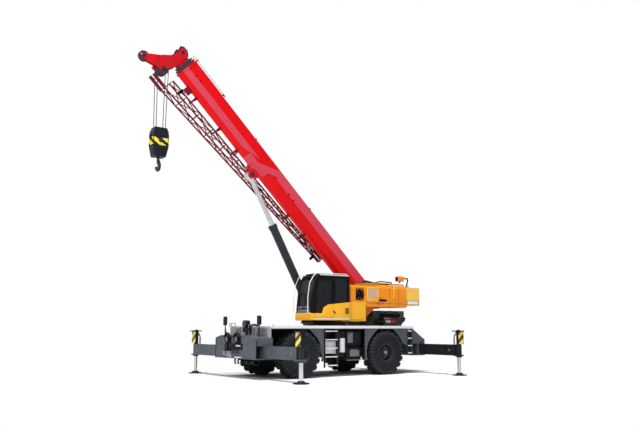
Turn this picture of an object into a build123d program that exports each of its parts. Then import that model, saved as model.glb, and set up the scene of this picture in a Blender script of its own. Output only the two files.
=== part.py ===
"""Rough-terrain mobile crane on outriggers, boom raised, as separate pieces on their real joints.

Millimetres. +X is the carrier's front, +Y its left side, +Z up. The origin is on the floor under the slewing axis.
Boom pieces are drawn in the boom's own frame: X along the boom from its foot pin, Z square to it, then raised."""
from build123d import *
import math
import os

# ---- carrier ----
DECK_TOP = 1770
DECK_THICK = 70
DECK_FRONT = 3250
DECK_REAR = -3250
DECK_HALF = 1480
FRAME_HALF = 420
FRAME_BOTTOM = 1010
FRAME_PLATE = 14
BOX_FRONT = 3860
BOX_DEPTH = 660
BOX_BOTTOM = 680
BOX_HEIGHT = 800
BOX_CHAMFER = 90
BOX_SLOPE = 420
BOX_REAR_TOP = 1690
BOX_HALF = 1460
BOX_PLATE = 14
# ---- wheels and axles ----
TYRE_RADIUS = 815
TYRE_WIDTH = 590
RIM_RADIUS = 330
RIM_WIDTH = 480
LUG_HEIGHT = 38
LUG_COUNT = 18
TRACK_HALF = 1265
FRONT_AXLE_X = 2080
REAR_AXLE_X = -1820
AXLE_RADIUS = 125
BOWL_RADIUS = 185
BOWL_LENGTH = 225
KINGPIN_Y = 880
KINGPIN_RADIUS = 45
# ---- outriggers ----
BEAM_HEIGHT = 400
BEAM_WIDTH = 270
BEAM_MID_Z = 920
BEAM_TILT_GAP = 8
LEG_Y = 3450
LEG_HOUSING = 105
LEG_UPPER = 82
LEG_STEP_Z = 1130
LEG_ROD = 68
LEG_GAP = 0.3
FLOAT_RADIUS = 260
LEG_TOP_Z = 1620
LEG_ROD_TOP = 945
BEAM_STROKE = LEG_Y - LEG_HOUSING - BOX_HALF - 45
SIGN_HALF = 150
SIGN_BOTTOM, SIGN_TOP = 1150, 1600
# ---- slewing part ----
RING_RADIUS = 820
RING_TOP = 1900
TABLE_PLATE = 60
CHEEK_Y = 330
CHEEK_PLATE = 40
SIDE_HALF = 1300
HOOD_BOTTOM = 2520
HOOD_TOP = 3380
HOOD_FRONT = -160
HOOD_REAR = -3100
WEIGHT_REAR = -3830
WEIGHT_BOTTOM = 2610
WEIGHT_TOP = 3310
# ---- cab ----
CAB_FRONT = 1600
CAB_REAR = -140
CAB_INNER = 480
CAB_OUTER = 1440
CAB_FLOOR = 2000
CAB_ROOF = 3660
CAB_WALL = 45
GLASS = 8
# ---- boom ----
LUFF = 44.4
FOOT_X = -1900
FOOT_Z = 3000
FOOT_PIN = 75
BASE_LENGTH = 11150
BASE_TAIL = 300
SECTION_WIDTH = 560
SECTION_HEIGHT = 740
SECTION_WALL = 12
SECTION_STEP = 36
COLLAR = 65
COLLAR_LIP = 28
HEAD_HALF = 200
HEAD_PLATE = 30
HEAD_NECK = 250
HEAD_ROOT = BASE_LENGTH + HEAD_NECK
HOIST_ALONG = HEAD_ROOT + HEAD_HALF
HOIST_PERP = -780
HOIST_SHEAVE = 210
TOP_SHEAVE = 150
TOP_ALONG = HEAD_ROOT + 230
TOP_PERP = 215
NOSE_OUT = 720
NOSE_ALONG = HOIST_ALONG + NOSE_OUT
NOSE_PERP = HOIST_PERP - 220
NOSE_SHEAVE = 190
ROPE = 11
# ---- luffing ram ----
RAM_ALONG = 6750
RAM_PERP = -630
RAM_FOOT_X = 570
RAM_FOOT_Z = 2250
RAM_BARREL = 150
RAM_BORE = 125
RAM_ROD = 88
RAM_BARREL_LENGTH = 3730
RAM_ROD_LENGTH = 3400
RAM_EYE = 165
RAM_EYE_HALF = 130
RAM_PIN = 60
# ---- hook ----
BLOCK_TOP = 8460
BLOCK_BOTTOM = 7450
BLOCK_HALF_X = 290
BLOCK_HALF_Y = 170
HOOK_BOTTOM = 6950
# ---- clearances ----
SEAT = 0.3
RUN = 0.05
SIDE_GAP = 20


def block(x0, x1, y0, y1, z0, z1):
    """A box between two corners."""
    return Pos((x0 + x1) / 2, (y0 + y1) / 2, (z0 + z1) / 2) * Box(abs(x1 - x0), abs(y1 - y0), abs(z1 - z0))


def side_prism(outline, y0, y1):
    """An outline of (x, z) points, or an arc-cornered face, carried from y0 to y1."""
    face = make_face(Polyline(*[(x, y0, z) for x, z in outline], close=True))
    return extrude(face, amount=y1 - y0, dir=(0, 1, 0))


def front_prism(outline, x0, x1):
    """An outline of (y, z) points carried from x0 to x1."""
    face = make_face(Polyline(*[(x0, y, z) for y, z in outline], close=True))
    return extrude(face, amount=x1 - x0, dir=(1, 0, 0))


def plan_prism(outline, z0, z1):
    """An outline of (x, y) points carried from z0 to z1."""
    face = make_face(Polyline(*[(x, y, z0) for x, y in outline], close=True))
    return extrude(face, amount=z1 - z0, dir=(0, 0, 1))


def rod(start, end, radius):
    """A round bar between two points."""
    a, b = Vector(*start), Vector(*end)
    return Plane(origin=a, z_dir=b - a) * Cylinder(radius, (b - a).length, align=(Align.CENTER, Align.CENTER, Align.MIN))


def bar(start, end, width):
    """A square bar between two points."""
    a, b = Vector(*start), Vector(*end)
    return Plane(origin=a, z_dir=b - a) * Box(width, width, (b - a).length, align=(Align.CENTER, Align.CENTER, Align.MIN))


def across(x, z, radius, y0, y1):
    """A round bar along Y at x, z."""
    return rod((x, y0, z), (x, y1, z), radius)


def save(node, *solids):
    """Writes one node's solids to its file."""
    shape = Compound(children=[s for whole in solids for s in whole.solids()])
    export_step(shape, f"parts/{node}.step")


os.makedirs("parts", exist_ok=True)
BOOM = Location((FOOT_X, 0, FOOT_Z), (0, -LUFF, 0))
COS, SIN = math.cos(math.radians(LUFF)), math.sin(math.radians(LUFF))


def boom_point(along, perp):
    """World (x, z) of a point given along the boom and square to it."""
    return FOOT_X + along * COS - perp * SIN, FOOT_Z + along * SIN + perp * COS


# ---- chassis: a welded box between the wheels, the slewing pedestal and the axle seats ----
DECK_BOTTOM = DECK_TOP - DECK_THICK
frame_rear, frame_front = -BOX_FRONT + BOX_DEPTH + SEAT, BOX_FRONT - BOX_DEPTH - SEAT
chassis = block(frame_rear, frame_front, -FRAME_HALF, FRAME_HALF, FRAME_BOTTOM, DECK_BOTTOM - SEAT)
chassis -= block(frame_rear - 1, frame_front + 1, -FRAME_HALF + FRAME_PLATE, FRAME_HALF - FRAME_PLATE,
                 FRAME_BOTTOM + FRAME_PLATE, DECK_BOTTOM - SEAT - FRAME_PLATE)
for x in (-2600, -1200, 1200, 2600):
    chassis += block(x - 10, x + 10, -FRAME_HALF + FRAME_PLATE, FRAME_HALF - FRAME_PLATE,
                     FRAME_BOTTOM + FRAME_PLATE, DECK_BOTTOM - SEAT - FRAME_PLATE)
for x in (FRONT_AXLE_X, REAR_AXLE_X):
    for side in (-1, 1):
        chassis += block(x - 150, x + 150, side * 300 - 70, side * 300 + 70, TYRE_RADIUS + AXLE_RADIUS + SEAT, FRAME_BOTTOM + 1)
chassis += rod((0, 0, DECK_BOTTOM - SEAT - 2), (0, 0, RING_TOP - 60), RING_RADIUS - 60)
save("chassis", chassis)

# ---- deck: plates over the wheels with a turned-down edge, holed for the pedestal ----
deck = block(DECK_REAR, DECK_FRONT, -DECK_HALF, DECK_HALF, DECK_BOTTOM, DECK_TOP)
deck -= Pos(0, 0, DECK_BOTTOM - 1) * Cylinder(RING_RADIUS - 60 + SEAT, DECK_THICK + 2, align=(Align.CENTER, Align.CENTER, Align.MIN))
save("deck", deck)


# ---- outrigger boxes: a cross box at each end with two tunnels side by side ----
# column names: end (+1 front, -1 rear), side the beam goes to, middle of the beam in x
BEAM_TABLE = [
    ("fl", 1, 1, BOX_FRONT - BOX_DEPTH + 180),
    ("fr", 1, -1, BOX_FRONT - 180),
    ("rl", -1, 1, -BOX_FRONT + 180),
    ("rr", -1, -1, -BOX_FRONT + BOX_DEPTH - 180),
]
BOX_TOP = BOX_BOTTOM + BOX_HEIGHT
BOX_SHOULDER = BOX_TOP - BOX_CHAMFER
box_front_outline = [(-BOX_HALF, BOX_BOTTOM), (BOX_HALF, BOX_BOTTOM), (BOX_HALF, BOX_SHOULDER),
                     (BOX_HALF - BOX_SLOPE, BOX_TOP), (-BOX_HALF + BOX_SLOPE, BOX_TOP), (-BOX_HALF, BOX_SHOULDER)]
box_rear_outline = [(-BOX_FRONT, BOX_BOTTOM), (-BOX_FRONT, BOX_REAR_TOP - 410), (-BOX_FRONT + 90, BOX_REAR_TOP - 350),
                    (DECK_REAR, BOX_REAR_TOP), (-BOX_FRONT + BOX_DEPTH, BOX_REAR_TOP),
                    (-BOX_FRONT + BOX_DEPTH, BOX_BOTTOM)]
front_box = front_prism(box_front_outline, BOX_FRONT - BOX_DEPTH, BOX_FRONT)
rear_box = side_prism(box_rear_outline, -BOX_HALF, BOX_HALF)
boxes = []
for end, box in ((1, front_box), (-1, rear_box)):
    for name, beam_end, side, middle in BEAM_TABLE:
        if beam_end == end:
            half = BEAM_WIDTH / 2 + BEAM_TILT_GAP
            low, high = BEAM_MID_Z - BEAM_HEIGHT / 2, BEAM_MID_Z + BEAM_HEIGHT / 2
            box -= block(middle - half, middle + half, -BOX_HALF - 1, BOX_HALF + 1,
                         low - BEAM_TILT_GAP, high + BEAM_TILT_GAP)
            for z0, z1 in ((low - BEAM_TILT_GAP - 1, low - SEAT), (high + SEAT, high + BEAM_TILT_GAP + 1)):
                box += block(middle - 100, middle + 100, side * (BOX_HALF - 200), side * (BOX_HALF - 20), z0, z1)
    boxes.append(box)
save("outrigger_boxes", *boxes)

# ---- outrigger beams and their legs ----
for name, end, side, middle in BEAM_TABLE:
    leg_y = side * LEG_Y
    inner_end = side * (BEAM_STROKE - BOX_HALF + 20)
    low, high = BEAM_MID_Z - BEAM_HEIGHT / 2, BEAM_MID_Z + BEAM_HEIGHT / 2
    beam = block(middle - BEAM_WIDTH / 2, middle + BEAM_WIDTH / 2, inner_end, side * (LEG_Y - 60), low, high)
    beam += rod((middle, leg_y, low - 60), (middle, leg_y, LEG_STEP_Z), LEG_HOUSING)
    beam += rod((middle, leg_y, LEG_STEP_Z - 1), (middle, leg_y, LEG_TOP_Z), LEG_UPPER)
    beam -= rod((middle, leg_y, low - 61), (middle, leg_y, LEG_TOP_Z - 40), LEG_ROD + LEG_GAP)
    for z0, z1 in ((low - BEAM_TILT_GAP + SEAT, low + 1), (high - 1, high + BEAM_TILT_GAP - SEAT)):
        beam += block(middle - 100, middle + 100, inner_end + side * 10, inner_end + side * 210, z0, z1)
    sign_x = middle + end * (LEG_UPPER + 20)
    beam += block(sign_x, sign_x + end * 12, leg_y - SIGN_HALF, leg_y + SIGN_HALF, SIGN_BOTTOM, SIGN_TOP)
    for z in (SIGN_BOTTOM + 60, SIGN_TOP - 100):
        beam += block(middle + end * (LEG_UPPER - 8), sign_x + end, leg_y - 25, leg_y + 25, z, z + 40)
    save(f"beam_{name}", beam)
    leg = rod((middle, leg_y, 60), (middle, leg_y, LEG_ROD_TOP), LEG_ROD)
    foot = make_face(Polyline((middle, leg_y, 0), (middle + FLOAT_RADIUS, leg_y, 0), (middle + FLOAT_RADIUS, leg_y, 26),
                              (middle + 160, leg_y, 32), (middle + 95, leg_y, 95), (middle, leg_y, 95), close=True))
    leg += revolve(foot, Axis((middle, leg_y, 0), (0, 0, 1)), 360)
    save(f"leg_{name}", leg)

# ---- axles: a tube with a bowl in the middle, and forked ends for the kingpins ----
axles = []
for x in (FRONT_AXLE_X, REAR_AXLE_X):
    axle = across(x, TYRE_RADIUS, AXLE_RADIUS, -KINGPIN_Y + 130, KINGPIN_Y - 130)
    bowl_outline = [(-BOWL_LENGTH, 0), (-BOWL_LENGTH, AXLE_RADIUS + 10), (-110, BOWL_RADIUS), (110, BOWL_RADIUS),
                    (BOWL_LENGTH, AXLE_RADIUS + 10), (BOWL_LENGTH, 0)]
    bowl_face = make_face(Polyline(*[(x, y, TYRE_RADIUS + r) for y, r in bowl_outline], close=True))
    axle += revolve(bowl_face, Axis((x, 0, TYRE_RADIUS), (0, 1, 0)), 360)
    for side in (-1, 1):
        axle += block(x - 90, x + 90, side * (KINGPIN_Y - 131), side * (KINGPIN_Y - 100), TYRE_RADIUS - 190, TYRE_RADIUS + 190)
        for z in (-1, 1):
            axle += block(x - 70, x + 70, side * (KINGPIN_Y - 101), side * (KINGPIN_Y + 70),
                          TYRE_RADIUS + z * 150, TYRE_RADIUS + z * 190)
            axle += rod((x, side * KINGPIN_Y, TYRE_RADIUS + z * 100), (x, side * KINGPIN_Y, TYRE_RADIUS + z * 151), KINGPIN_RADIUS)
    axles.append(axle)
save("axles", *axles)

# ---- wheels: knuckle on its kingpin, rim on the knuckle's stub, tyre on the rim ----
WHEELS = [("fl", FRONT_AXLE_X, 1), ("fr", FRONT_AXLE_X, -1), ("rl", REAR_AXLE_X, 1), ("rr", REAR_AXLE_X, -1)]
for name, x, side in WHEELS:
    y = side * TRACK_HALF
    knuckle = rod((x, side * KINGPIN_Y, TYRE_RADIUS - 148), (x, side * KINGPIN_Y, TYRE_RADIUS + 148), 95)
    knuckle -= rod((x, side * KINGPIN_Y, TYRE_RADIUS - 149), (x, side * KINGPIN_Y, TYRE_RADIUS - 98), KINGPIN_RADIUS + RUN)
    knuckle -= rod((x, side * KINGPIN_Y, TYRE_RADIUS + 98), (x, side * KINGPIN_Y, TYRE_RADIUS + 149), KINGPIN_RADIUS + RUN)
    knuckle += across(x, TYRE_RADIUS, 140, side * (KINGPIN_Y + 90), side * (TRACK_HALF - 60))
    knuckle += across(x, TYRE_RADIUS, 80, side * KINGPIN_Y, side * (TRACK_HALF + 70))
    save(f"knuckle_{name}", knuckle)
    rim = across(x, TYRE_RADIUS, RIM_RADIUS, y - RIM_WIDTH / 2, y + RIM_WIDTH / 2)
    rim -= across(x, TYRE_RADIUS, RIM_RADIUS - 25, y - RIM_WIDTH, y + RIM_WIDTH)
    rim += across(x, TYRE_RADIUS, RIM_RADIUS - 24, side * (TRACK_HALF - 20), side * (TRACK_HALF + 20))
    rim += across(x, TYRE_RADIUS, 175, side * (TRACK_HALF + 19), side * (TRACK_HALF + 150))
    rim += across(x, TYRE_RADIUS, 110, side * (TRACK_HALF + 149), side * (TRACK_HALF + 200))
    rim -= across(x, TYRE_RADIUS, 80 + RUN, side * (TRACK_HALF - 21), side * (TRACK_HALF + 90))
    save(f"rim_{name}", rim)
    core = TYRE_RADIUS - LUG_HEIGHT
    half = TYRE_WIDTH / 2
    profile = [(RIM_RADIUS, -RIM_WIDTH / 2 + 10), (RIM_RADIUS + 60, -half + 30), (core - 140, -half), (core - 30, -half + 40),
               (core, -half + 90), (core, half - 90), (core - 30, half - 40), (core - 140, half), (RIM_RADIUS + 60, half - 30),
               (RIM_RADIUS, RIM_WIDTH / 2 - 10)]
    face = make_face(Polyline(*[(x + r, y + w, TYRE_RADIUS) for r, w in profile], close=True))
    tyre = revolve(face, Axis((x, y, TYRE_RADIUS), (0, 1, 0)), 360)
    tyre -= across(x, TYRE_RADIUS, RIM_RADIUS + SEAT, y - half, y + half)
    lugs = []
    for i in range(LUG_COUNT):
        for row in (-1, 1):
            turn = 360 / LUG_COUNT * (i + (0.5 if row > 0 else 0))
            lug = Pos(0, row * half * 0.48, core + LUG_HEIGHT / 2 - 8) * Rot(0, 0, -row * 24) * Box(86, half * 0.98, LUG_HEIGHT + 14)
            lugs.append(Pos(x, y, TYRE_RADIUS) * Rot(0, turn, 0) * lug)
    tyre += lugs
    tyre &= across(x, TYRE_RADIUS, TYRE_RADIUS, y - half, y + half)
    save(f"tyre_{name}", tyre)

# ---- engine under its hood at the rear of the deck, with the silencer beside it ----
HOOD_LEFT, HOOD_RIGHT = 250, -900
ENGINE_HOOD_TOP = 2420
ENGINE_HOOD_REAR = -3880
ENGINE_HOOD_LIP = -3640
HOOD_SHEET = 30
hood_outline = [(-1650, DECK_TOP + SEAT), (-1700, 1890), (-2160, 1985), (-2230, ENGINE_HOOD_TOP),
                (ENGINE_HOOD_REAR, ENGINE_HOOD_TOP), (ENGINE_HOOD_REAR, 2140), (-3700, DECK_TOP + SEAT)]
hollow_outline = [(-1720, DECK_TOP - 1), (-1740, 1860), (-2190, 1950), (-2230 - HOOD_SHEET, ENGINE_HOOD_TOP - HOOD_SHEET),
                  (ENGINE_HOOD_LIP, ENGINE_HOOD_TOP - HOOD_SHEET), (ENGINE_HOOD_LIP, DECK_TOP - 1)]
hood = side_prism(hood_outline, HOOD_RIGHT, HOOD_LEFT)
hood -= side_prism(hollow_outline, HOOD_RIGHT + HOOD_SHEET, HOOD_LEFT - HOOD_SHEET)
VENTS, VENT_PITCH, VENT_WIDTH = 6, 150, 80
for i in range(VENTS):
    vent = ENGINE_HOOD_LIP + 80 + i * VENT_PITCH
    for face in (HOOD_LEFT - HOOD_SHEET - 1, HOOD_RIGHT - 1):
        hood -= block(vent, vent + VENT_WIDTH, face, face + HOOD_SHEET + 2, ENGINE_HOOD_TOP - 340, ENGINE_HOOD_TOP - 120)
save("engine_hood", hood)
save("engine", block(-3500, -2400, HOOD_RIGHT + 120, HOOD_LEFT - 120, DECK_TOP + SEAT, ENGINE_HOOD_TOP - 120))
SILENCER_Y, SILENCER_Z, SILENCER_RADIUS = 440, 1985, 150
SILENCER_FRONT, SILENCER_REAR = -2500, -3480
silencer_outline = [(SILENCER_REAR - 90, 0), (SILENCER_REAR - 90, 95), (SILENCER_REAR, SILENCER_RADIUS),
                    (SILENCER_FRONT - 40, SILENCER_RADIUS), (SILENCER_FRONT, 110), (SILENCER_FRONT, 0)]
silencer_face = make_face(Polyline(*[(x, SILENCER_Y, SILENCER_Z + r) for x, r in silencer_outline], close=True))
silencer = revolve(silencer_face, Axis((0, SILENCER_Y, SILENCER_Z), (1, 0, 0)), 360)
for x in (SILENCER_REAR + 280, SILENCER_FRONT - 200):
    silencer += block(x - 30, x + 30, SILENCER_Y - 100, SILENCER_Y + 100, DECK_TOP + SEAT, SILENCER_Z - 85)
save("silencer", silencer)

# ---- lockers and tanks between the wheels ----
LOCKER_FACE = 1290
LOCKER_DOOR = 14
# column names: rear x, front x, bottom z, top z, side
LOCKER_TABLE = [
    (-760, -60, 560, 1040, 1),
    (-760, -60, 1060, 1640, 1),
    (0, 360, 700, 1640, 1),
    (-760, 1000, 620, 1300, -1),
]
lockers = []
for x0, x1, z0, z1, side in LOCKER_TABLE:
    inner, outer = side * (FRAME_HALF + SEAT), side * LOCKER_FACE
    outline = [(inner, z0), (outer - side * 70, z0), (outer, z0 + 90), (outer, z1 - 25), (outer - side * 25, z1), (inner, z1)]
    locker = front_prism(outline, x0, x1)
    locker += block(x0 + 45, x1 - 45, outer - side, outer + side * LOCKER_DOOR, z0 + 130, z1 - 60)
    lockers.append(locker)
save("lockers", *lockers)

# ---- mudguard plates beside each wheel, hung from the deck ----
FENDER_INNER, FENDER_OUTER = 1440, 1470
# column names: distance from the axle, height; the arch line clears the tyre at full lock
ARCH = [(370, DECK_BOTTOM - SEAT), (560, 1540), (740, 1360), (870, 1150), (930, 900), (930, 740), (900, 560)]
fenders = []
for side in (-1, 1):
    y0, y1 = sorted((side * FENDER_INNER, side * FENDER_OUTER))
    for axle_x, way, back, bottom in ((FRONT_AXLE_X, -1, 1000, 560), (REAR_AXLE_X, 1, 1000, 560), (REAR_AXLE_X, -1, 1090, 1050)):
        line = [(axle_x + way * d, z) for d, z in ARCH if z >= bottom]
        far = axle_x + way * back
        outline = line + [(far, bottom), (far, DECK_BOTTOM - SEAT)]
        fenders.append(side_prism(outline, y0, y1))
save("fenders", *fenders)

# ---- ladders: two strings and flat rungs, at the middle and rear of each side ----
LADDER_DEPTH = 75
# column names: rear x, front x, bottom z, side, inner y, rungs
LADDER_TABLE = [
    (400, 1000, 330, 1, 1350, 5),
    (400, 1000, 330, -1, 1350, 5),
    (-3190, -2925, 700, 1, 1400, 4),
    (-3190, -2925, 700, -1, 1400, 4),
]
ladders = []
for x0, x1, bottom, side, inner, steps in LADDER_TABLE:
    y0, y1 = side * inner, side * (inner + LADDER_DEPTH)
    top = DECK_BOTTOM - SEAT
    ladder = block(x0, x0 + 25, y0, y1, bottom, top) + block(x1 - 25, x1, y0, y1, bottom, top)
    for i in range(steps):
        z = bottom + 60 + i * (top - bottom - 160) / (steps - 1)
        ladder += block(x0, x1, y0, y1, z, z + 35)
    ladders.append(ladder)
save("ladders", *ladders)

# ---- fascia between the deck's front edge and the outrigger box ----
fascia = block(DECK_FRONT + SEAT, DECK_FRONT + 20, -BOX_HALF + 20, BOX_HALF - 20, BOX_SHOULDER, DECK_TOP - 5)
fascia -= Pos(0, 0, SEAT) * front_prism(box_front_outline, DECK_FRONT - 1, DECK_FRONT + 30)
save("fascia", fascia)

# ---- front end: lamp brackets on the outrigger box, mirrors on posts, towing hook ----
LAMP_Z, LAMP_RADIUS = BOX_TOP - 140, 115
lamps = []
for y in (-430, 260):
    plate_outline = [(y - 170, LAMP_Z - 150), (y + 170, LAMP_Z - 150), (y + 170, LAMP_Z + 60), (y + 90, LAMP_Z + 150),
                     (y - 90, LAMP_Z + 150), (y - 170, LAMP_Z + 60)]
    lamp = front_prism(plate_outline, BOX_FRONT + SEAT, BOX_FRONT + 40)
    lamp += rod((BOX_FRONT + 39, y, LAMP_Z), (BOX_FRONT + 110, y, LAMP_Z), LAMP_RADIUS)
    lamp -= rod((BOX_FRONT + 90, y, LAMP_Z), (BOX_FRONT + 111, y, LAMP_Z), LAMP_RADIUS - 15)
    lamps.append(lamp)
save("headlights", *lamps)
MIRROR_X, MIRROR_Y, MIRROR_BOTTOM, MIRROR_TOP = BOX_FRONT - 260, 1220, 1830, 2150
mirrors = []
for side in (-1, 1):
    x, y = MIRROR_X, side * MIRROR_Y
    mirror = rod((x, y, BOX_SHOULDER), (x, y, MIRROR_BOTTOM + 30), 20)
    mirror += rod((x, y - side * 170, BOX_SHOULDER), (x, y, MIRROR_BOTTOM - 60), 14)
    mirror -= Pos(0, 0, SEAT) * front_prism(box_front_outline, MIRROR_X - 60, MIRROR_X + 60)
    shell_outline = [(x - 30, MIRROR_BOTTOM + 25), (x + 15, MIRROR_BOTTOM), (x + 35, MIRROR_BOTTOM + 30),
                     (x + 35, MIRROR_TOP - 30), (x + 15, MIRROR_TOP), (x - 30, MIRROR_TOP - 25)]
    mirror += side_prism(shell_outline, y - 100, y + 100)
    mirrors.append(mirror)
save("mirrors", *mirrors)
TOW_Y, TOW_Z = -370, BOX_BOTTOM + 190
tow_x = BOX_FRONT + 150
tow = front_prism([(TOW_Y - 150, TOW_Z - 170), (TOW_Y + 150, TOW_Z - 170), (TOW_Y + 150, TOW_Z + 120), (TOW_Y + 90, TOW_Z + 180),
                   (TOW_Y - 90, TOW_Z + 180), (TOW_Y - 150, TOW_Z + 120)], BOX_FRONT + SEAT, BOX_FRONT + 25)
jaw = across(tow_x, TOW_Z, 95, TOW_Y - 32, TOW_Y + 32)
jaw += block(BOX_FRONT + 24, tow_x, TOW_Y - 32, TOW_Y + 32, TOW_Z - 95, TOW_Z + 70)
jaw -= across(tow_x, TOW_Z, 48, TOW_Y - 33, TOW_Y + 33)
jaw -= block(tow_x - 6, tow_x + 70, TOW_Y - 33, TOW_Y + 33, TOW_Z + 10, TOW_Z + 120)
latch = side_prism([(BOX_FRONT + 24, TOW_Z + 69), (tow_x - 40, TOW_Z + 69), (tow_x + 40, TOW_Z + 92), (tow_x + 60, TOW_Z + 120),
                    (BOX_FRONT + 24, TOW_Z + 120)], TOW_Y - 20, TOW_Y + 20)
save("tow_hook", tow + jaw + latch)

# ---- slewing table: ring, base plate, two cheeks that carry the boom's foot pin and the ram's foot ----
ring = Pos(0, 0, RING_TOP - 60 + SEAT) * Cylinder(RING_RADIUS, 60, align=(Align.CENTER, Align.CENTER, Align.MIN))
TABLE_BOTTOM = RING_TOP + SEAT - 1
TABLE_FRONT = 800
table = ring + plan_prism([(TABLE_FRONT, -420), (TABLE_FRONT, 420), (420, 760), (-900, 880), (-1500, 420), (-1500, -420), (-900, -880), (420, -760)],
                          TABLE_BOTTOM, TABLE_BOTTOM + TABLE_PLATE)
table_top = TABLE_BOTTOM + TABLE_PLATE
cheek_outline = [(TABLE_FRONT, table_top - 1), (TABLE_FRONT - 20, 2330), (640, 2430), (200, 2480), (-1500, FOOT_Z + 180), (-1700, FOOT_Z + 300), (-2100, FOOT_Z + 300),
                 (-3500, 3080), (-3500, 2600), (-2300, 2560), (-1500, table_top - 1)]
for side in (-1, 1):
    y0, y1 = side * CHEEK_Y, side * (CHEEK_Y + CHEEK_PLATE)
    cheek = side_prism(cheek_outline, min(y0, y1), max(y0, y1))
    table += cheek
    table += across(RAM_FOOT_X, RAM_FOOT_Z, 110, side * (RAM_EYE_HALF + SIDE_GAP), side * (CHEEK_Y + CHEEK_PLATE + 20))
table += block(-3500, -2340, -CHEEK_Y - 1, CHEEK_Y + 1, 2600, 2640)
table += block(-1500, -1450, -CHEEK_Y - 1, CHEEK_Y + 1, table_top - 1, 2500)
table -= across(FOOT_X, FOOT_Z, FOOT_PIN + RUN, -900, 900)
WINCHES = [("winch_main", -2720, 2960), ("winch_aux", -3250, 3000)]
for name, x, z in WINCHES:
    table -= across(x, z, 60 + RUN, -900, 900)
    drum = across(x, z, 150, -CHEEK_Y + 40, CHEEK_Y - 40)
    for side in (-1, 1):
        drum += across(x, z, 245, side * (CHEEK_Y - 40), side * (CHEEK_Y - 15))
    drum += across(x, z, 60, -CHEEK_Y - CHEEK_PLATE + 2, CHEEK_Y + CHEEK_PLATE - 2)
    save(name, drum)
save("slew_table", table)

# ---- side enclosures of the table, lower locker behind the cab, counterweight ----
HOOD_INNER = CHEEK_Y + CHEEK_PLATE + SEAT
RECESS_REAR, RECESS_FRONT, RECESS_DEPTH = -920, -520, 90
RECESS_BOTTOM, RECESS_TOP = HOOD_BOTTOM + 240, HOOD_TOP - 150
LOUVRES, LOUVRE_PITCH = 5, 64
LOUVRE_REAR, LOUVRE_FRONT, LOUVRE_BOTTOM = -1900, -1500, HOOD_BOTTOM + 100
hoods = []
for side in (-1, 1):
    y0, y1 = side * HOOD_INNER, side * SIDE_HALF
    outline = [(HOOD_FRONT, HOOD_BOTTOM + 180), (HOOD_FRONT, HOOD_TOP - 90), (HOOD_FRONT - 500, HOOD_TOP), (HOOD_REAR + 60, HOOD_TOP),
               (HOOD_REAR, HOOD_TOP - 60), (HOOD_REAR, HOOD_BOTTOM), (HOOD_FRONT - 900, HOOD_BOTTOM), (HOOD_FRONT - 800, HOOD_BOTTOM + 180)]
    hood = side_prism(outline, min(y0, y1), max(y0, y1))
    inner, outer = side * HOOD_INNER, side * SIDE_HALF
    hood &= front_prism([(inner, HOOD_BOTTOM - 1), (outer - side * 40, HOOD_BOTTOM - 1), (outer, HOOD_BOTTOM + 60),
                         (outer, HOOD_TOP - 130), (outer - side * 90, HOOD_TOP + 1), (inner, HOOD_TOP + 1)],
                        HOOD_REAR - 1, HOOD_FRONT + 1)
    if side > 0:
        hood -= block(RECESS_REAR, RECESS_FRONT, outer - RECESS_DEPTH, outer + 1, RECESS_BOTTOM, RECESS_TOP)
    for i in range(LOUVRES):
        low = LOUVRE_BOTTOM + i * LOUVRE_PITCH
        hood -= side_prism([(LOUVRE_REAR, low), (LOUVRE_FRONT, low), (LOUVRE_FRONT, low + LOUVRE_PITCH / 2),
                            (LOUVRE_REAR, low + LOUVRE_PITCH / 2)], *sorted((outer - side * 25, outer + side)))
    hoods.append(hood)
save("side_hoods", *hoods)
side_box = block(-950, -170, 905, SIDE_HALF + 60, 1985, HOOD_BOTTOM + 180 - SEAT)
side_box += block(-950, -170, CHEEK_Y + CHEEK_PLATE + SEAT, 906, table_top + SEAT, HOOD_BOTTOM + 180 - SEAT)
save("side_box", side_box)
weight = plan_prism([(-3560, -HOOD_INNER - 40), (-3560, HOOD_INNER + 40), (HOOD_REAR - SEAT, HOOD_INNER + 40), (HOOD_REAR - SEAT, SIDE_HALF),
                     (WEIGHT_REAR + 60, SIDE_HALF), (WEIGHT_REAR, SIDE_HALF - 60), (WEIGHT_REAR, -SIDE_HALF + 60), (WEIGHT_REAR + 60, -SIDE_HALF),
                     (HOOD_REAR - SEAT, -SIDE_HALF), (HOOD_REAR - SEAT, -HOOD_INNER - 40)], WEIGHT_BOTTOM, WEIGHT_TOP)
weight &= side_prism([(HOOD_REAR + 1, WEIGHT_BOTTOM), (WEIGHT_REAR + 90, WEIGHT_BOTTOM), (WEIGHT_REAR, WEIGHT_BOTTOM + 90),
                      (WEIGHT_REAR, WEIGHT_TOP - 70), (WEIGHT_REAR + 70, WEIGHT_TOP), (HOOD_REAR + 1, WEIGHT_TOP)],
                     -SIDE_HALF - 1, SIDE_HALF + 1)
save("counterweight", weight)

# ---- cab: hollow shell with its windows cut, glass, door, seat and console ----
# column names: how far behind the cab's front, height; the windscreen leans back in three steps
CAB_LINE = [(0, CAB_FLOOR), (0, CAB_FLOOR + 420), (70, 3060), (200, 3480), (300, CAB_ROOF - 40), (400, CAB_ROOF)]
cab_outline = [(CAB_FRONT - back, z) for back, z in CAB_LINE] + [(CAB_REAR + 60, CAB_ROOF), (CAB_REAR, CAB_ROOF - 60),
                                                                (CAB_REAR, CAB_FLOOR)]
INNER_LINE = [(0, CAB_FLOOR + CAB_WALL), (0, CAB_FLOOR + 420), (70, 3055), (195, 3465), (285, CAB_ROOF - 75),
              (370, CAB_ROOF - CAB_WALL)]
inner_outline = [(CAB_FRONT - CAB_WALL - back, z) for back, z in INNER_LINE]
inner_outline += [(CAB_REAR + 80, CAB_ROOF - CAB_WALL), (CAB_REAR + CAB_WALL, CAB_ROOF - 90),
                  (CAB_REAR + CAB_WALL, CAB_FLOOR + CAB_WALL)]
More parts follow.
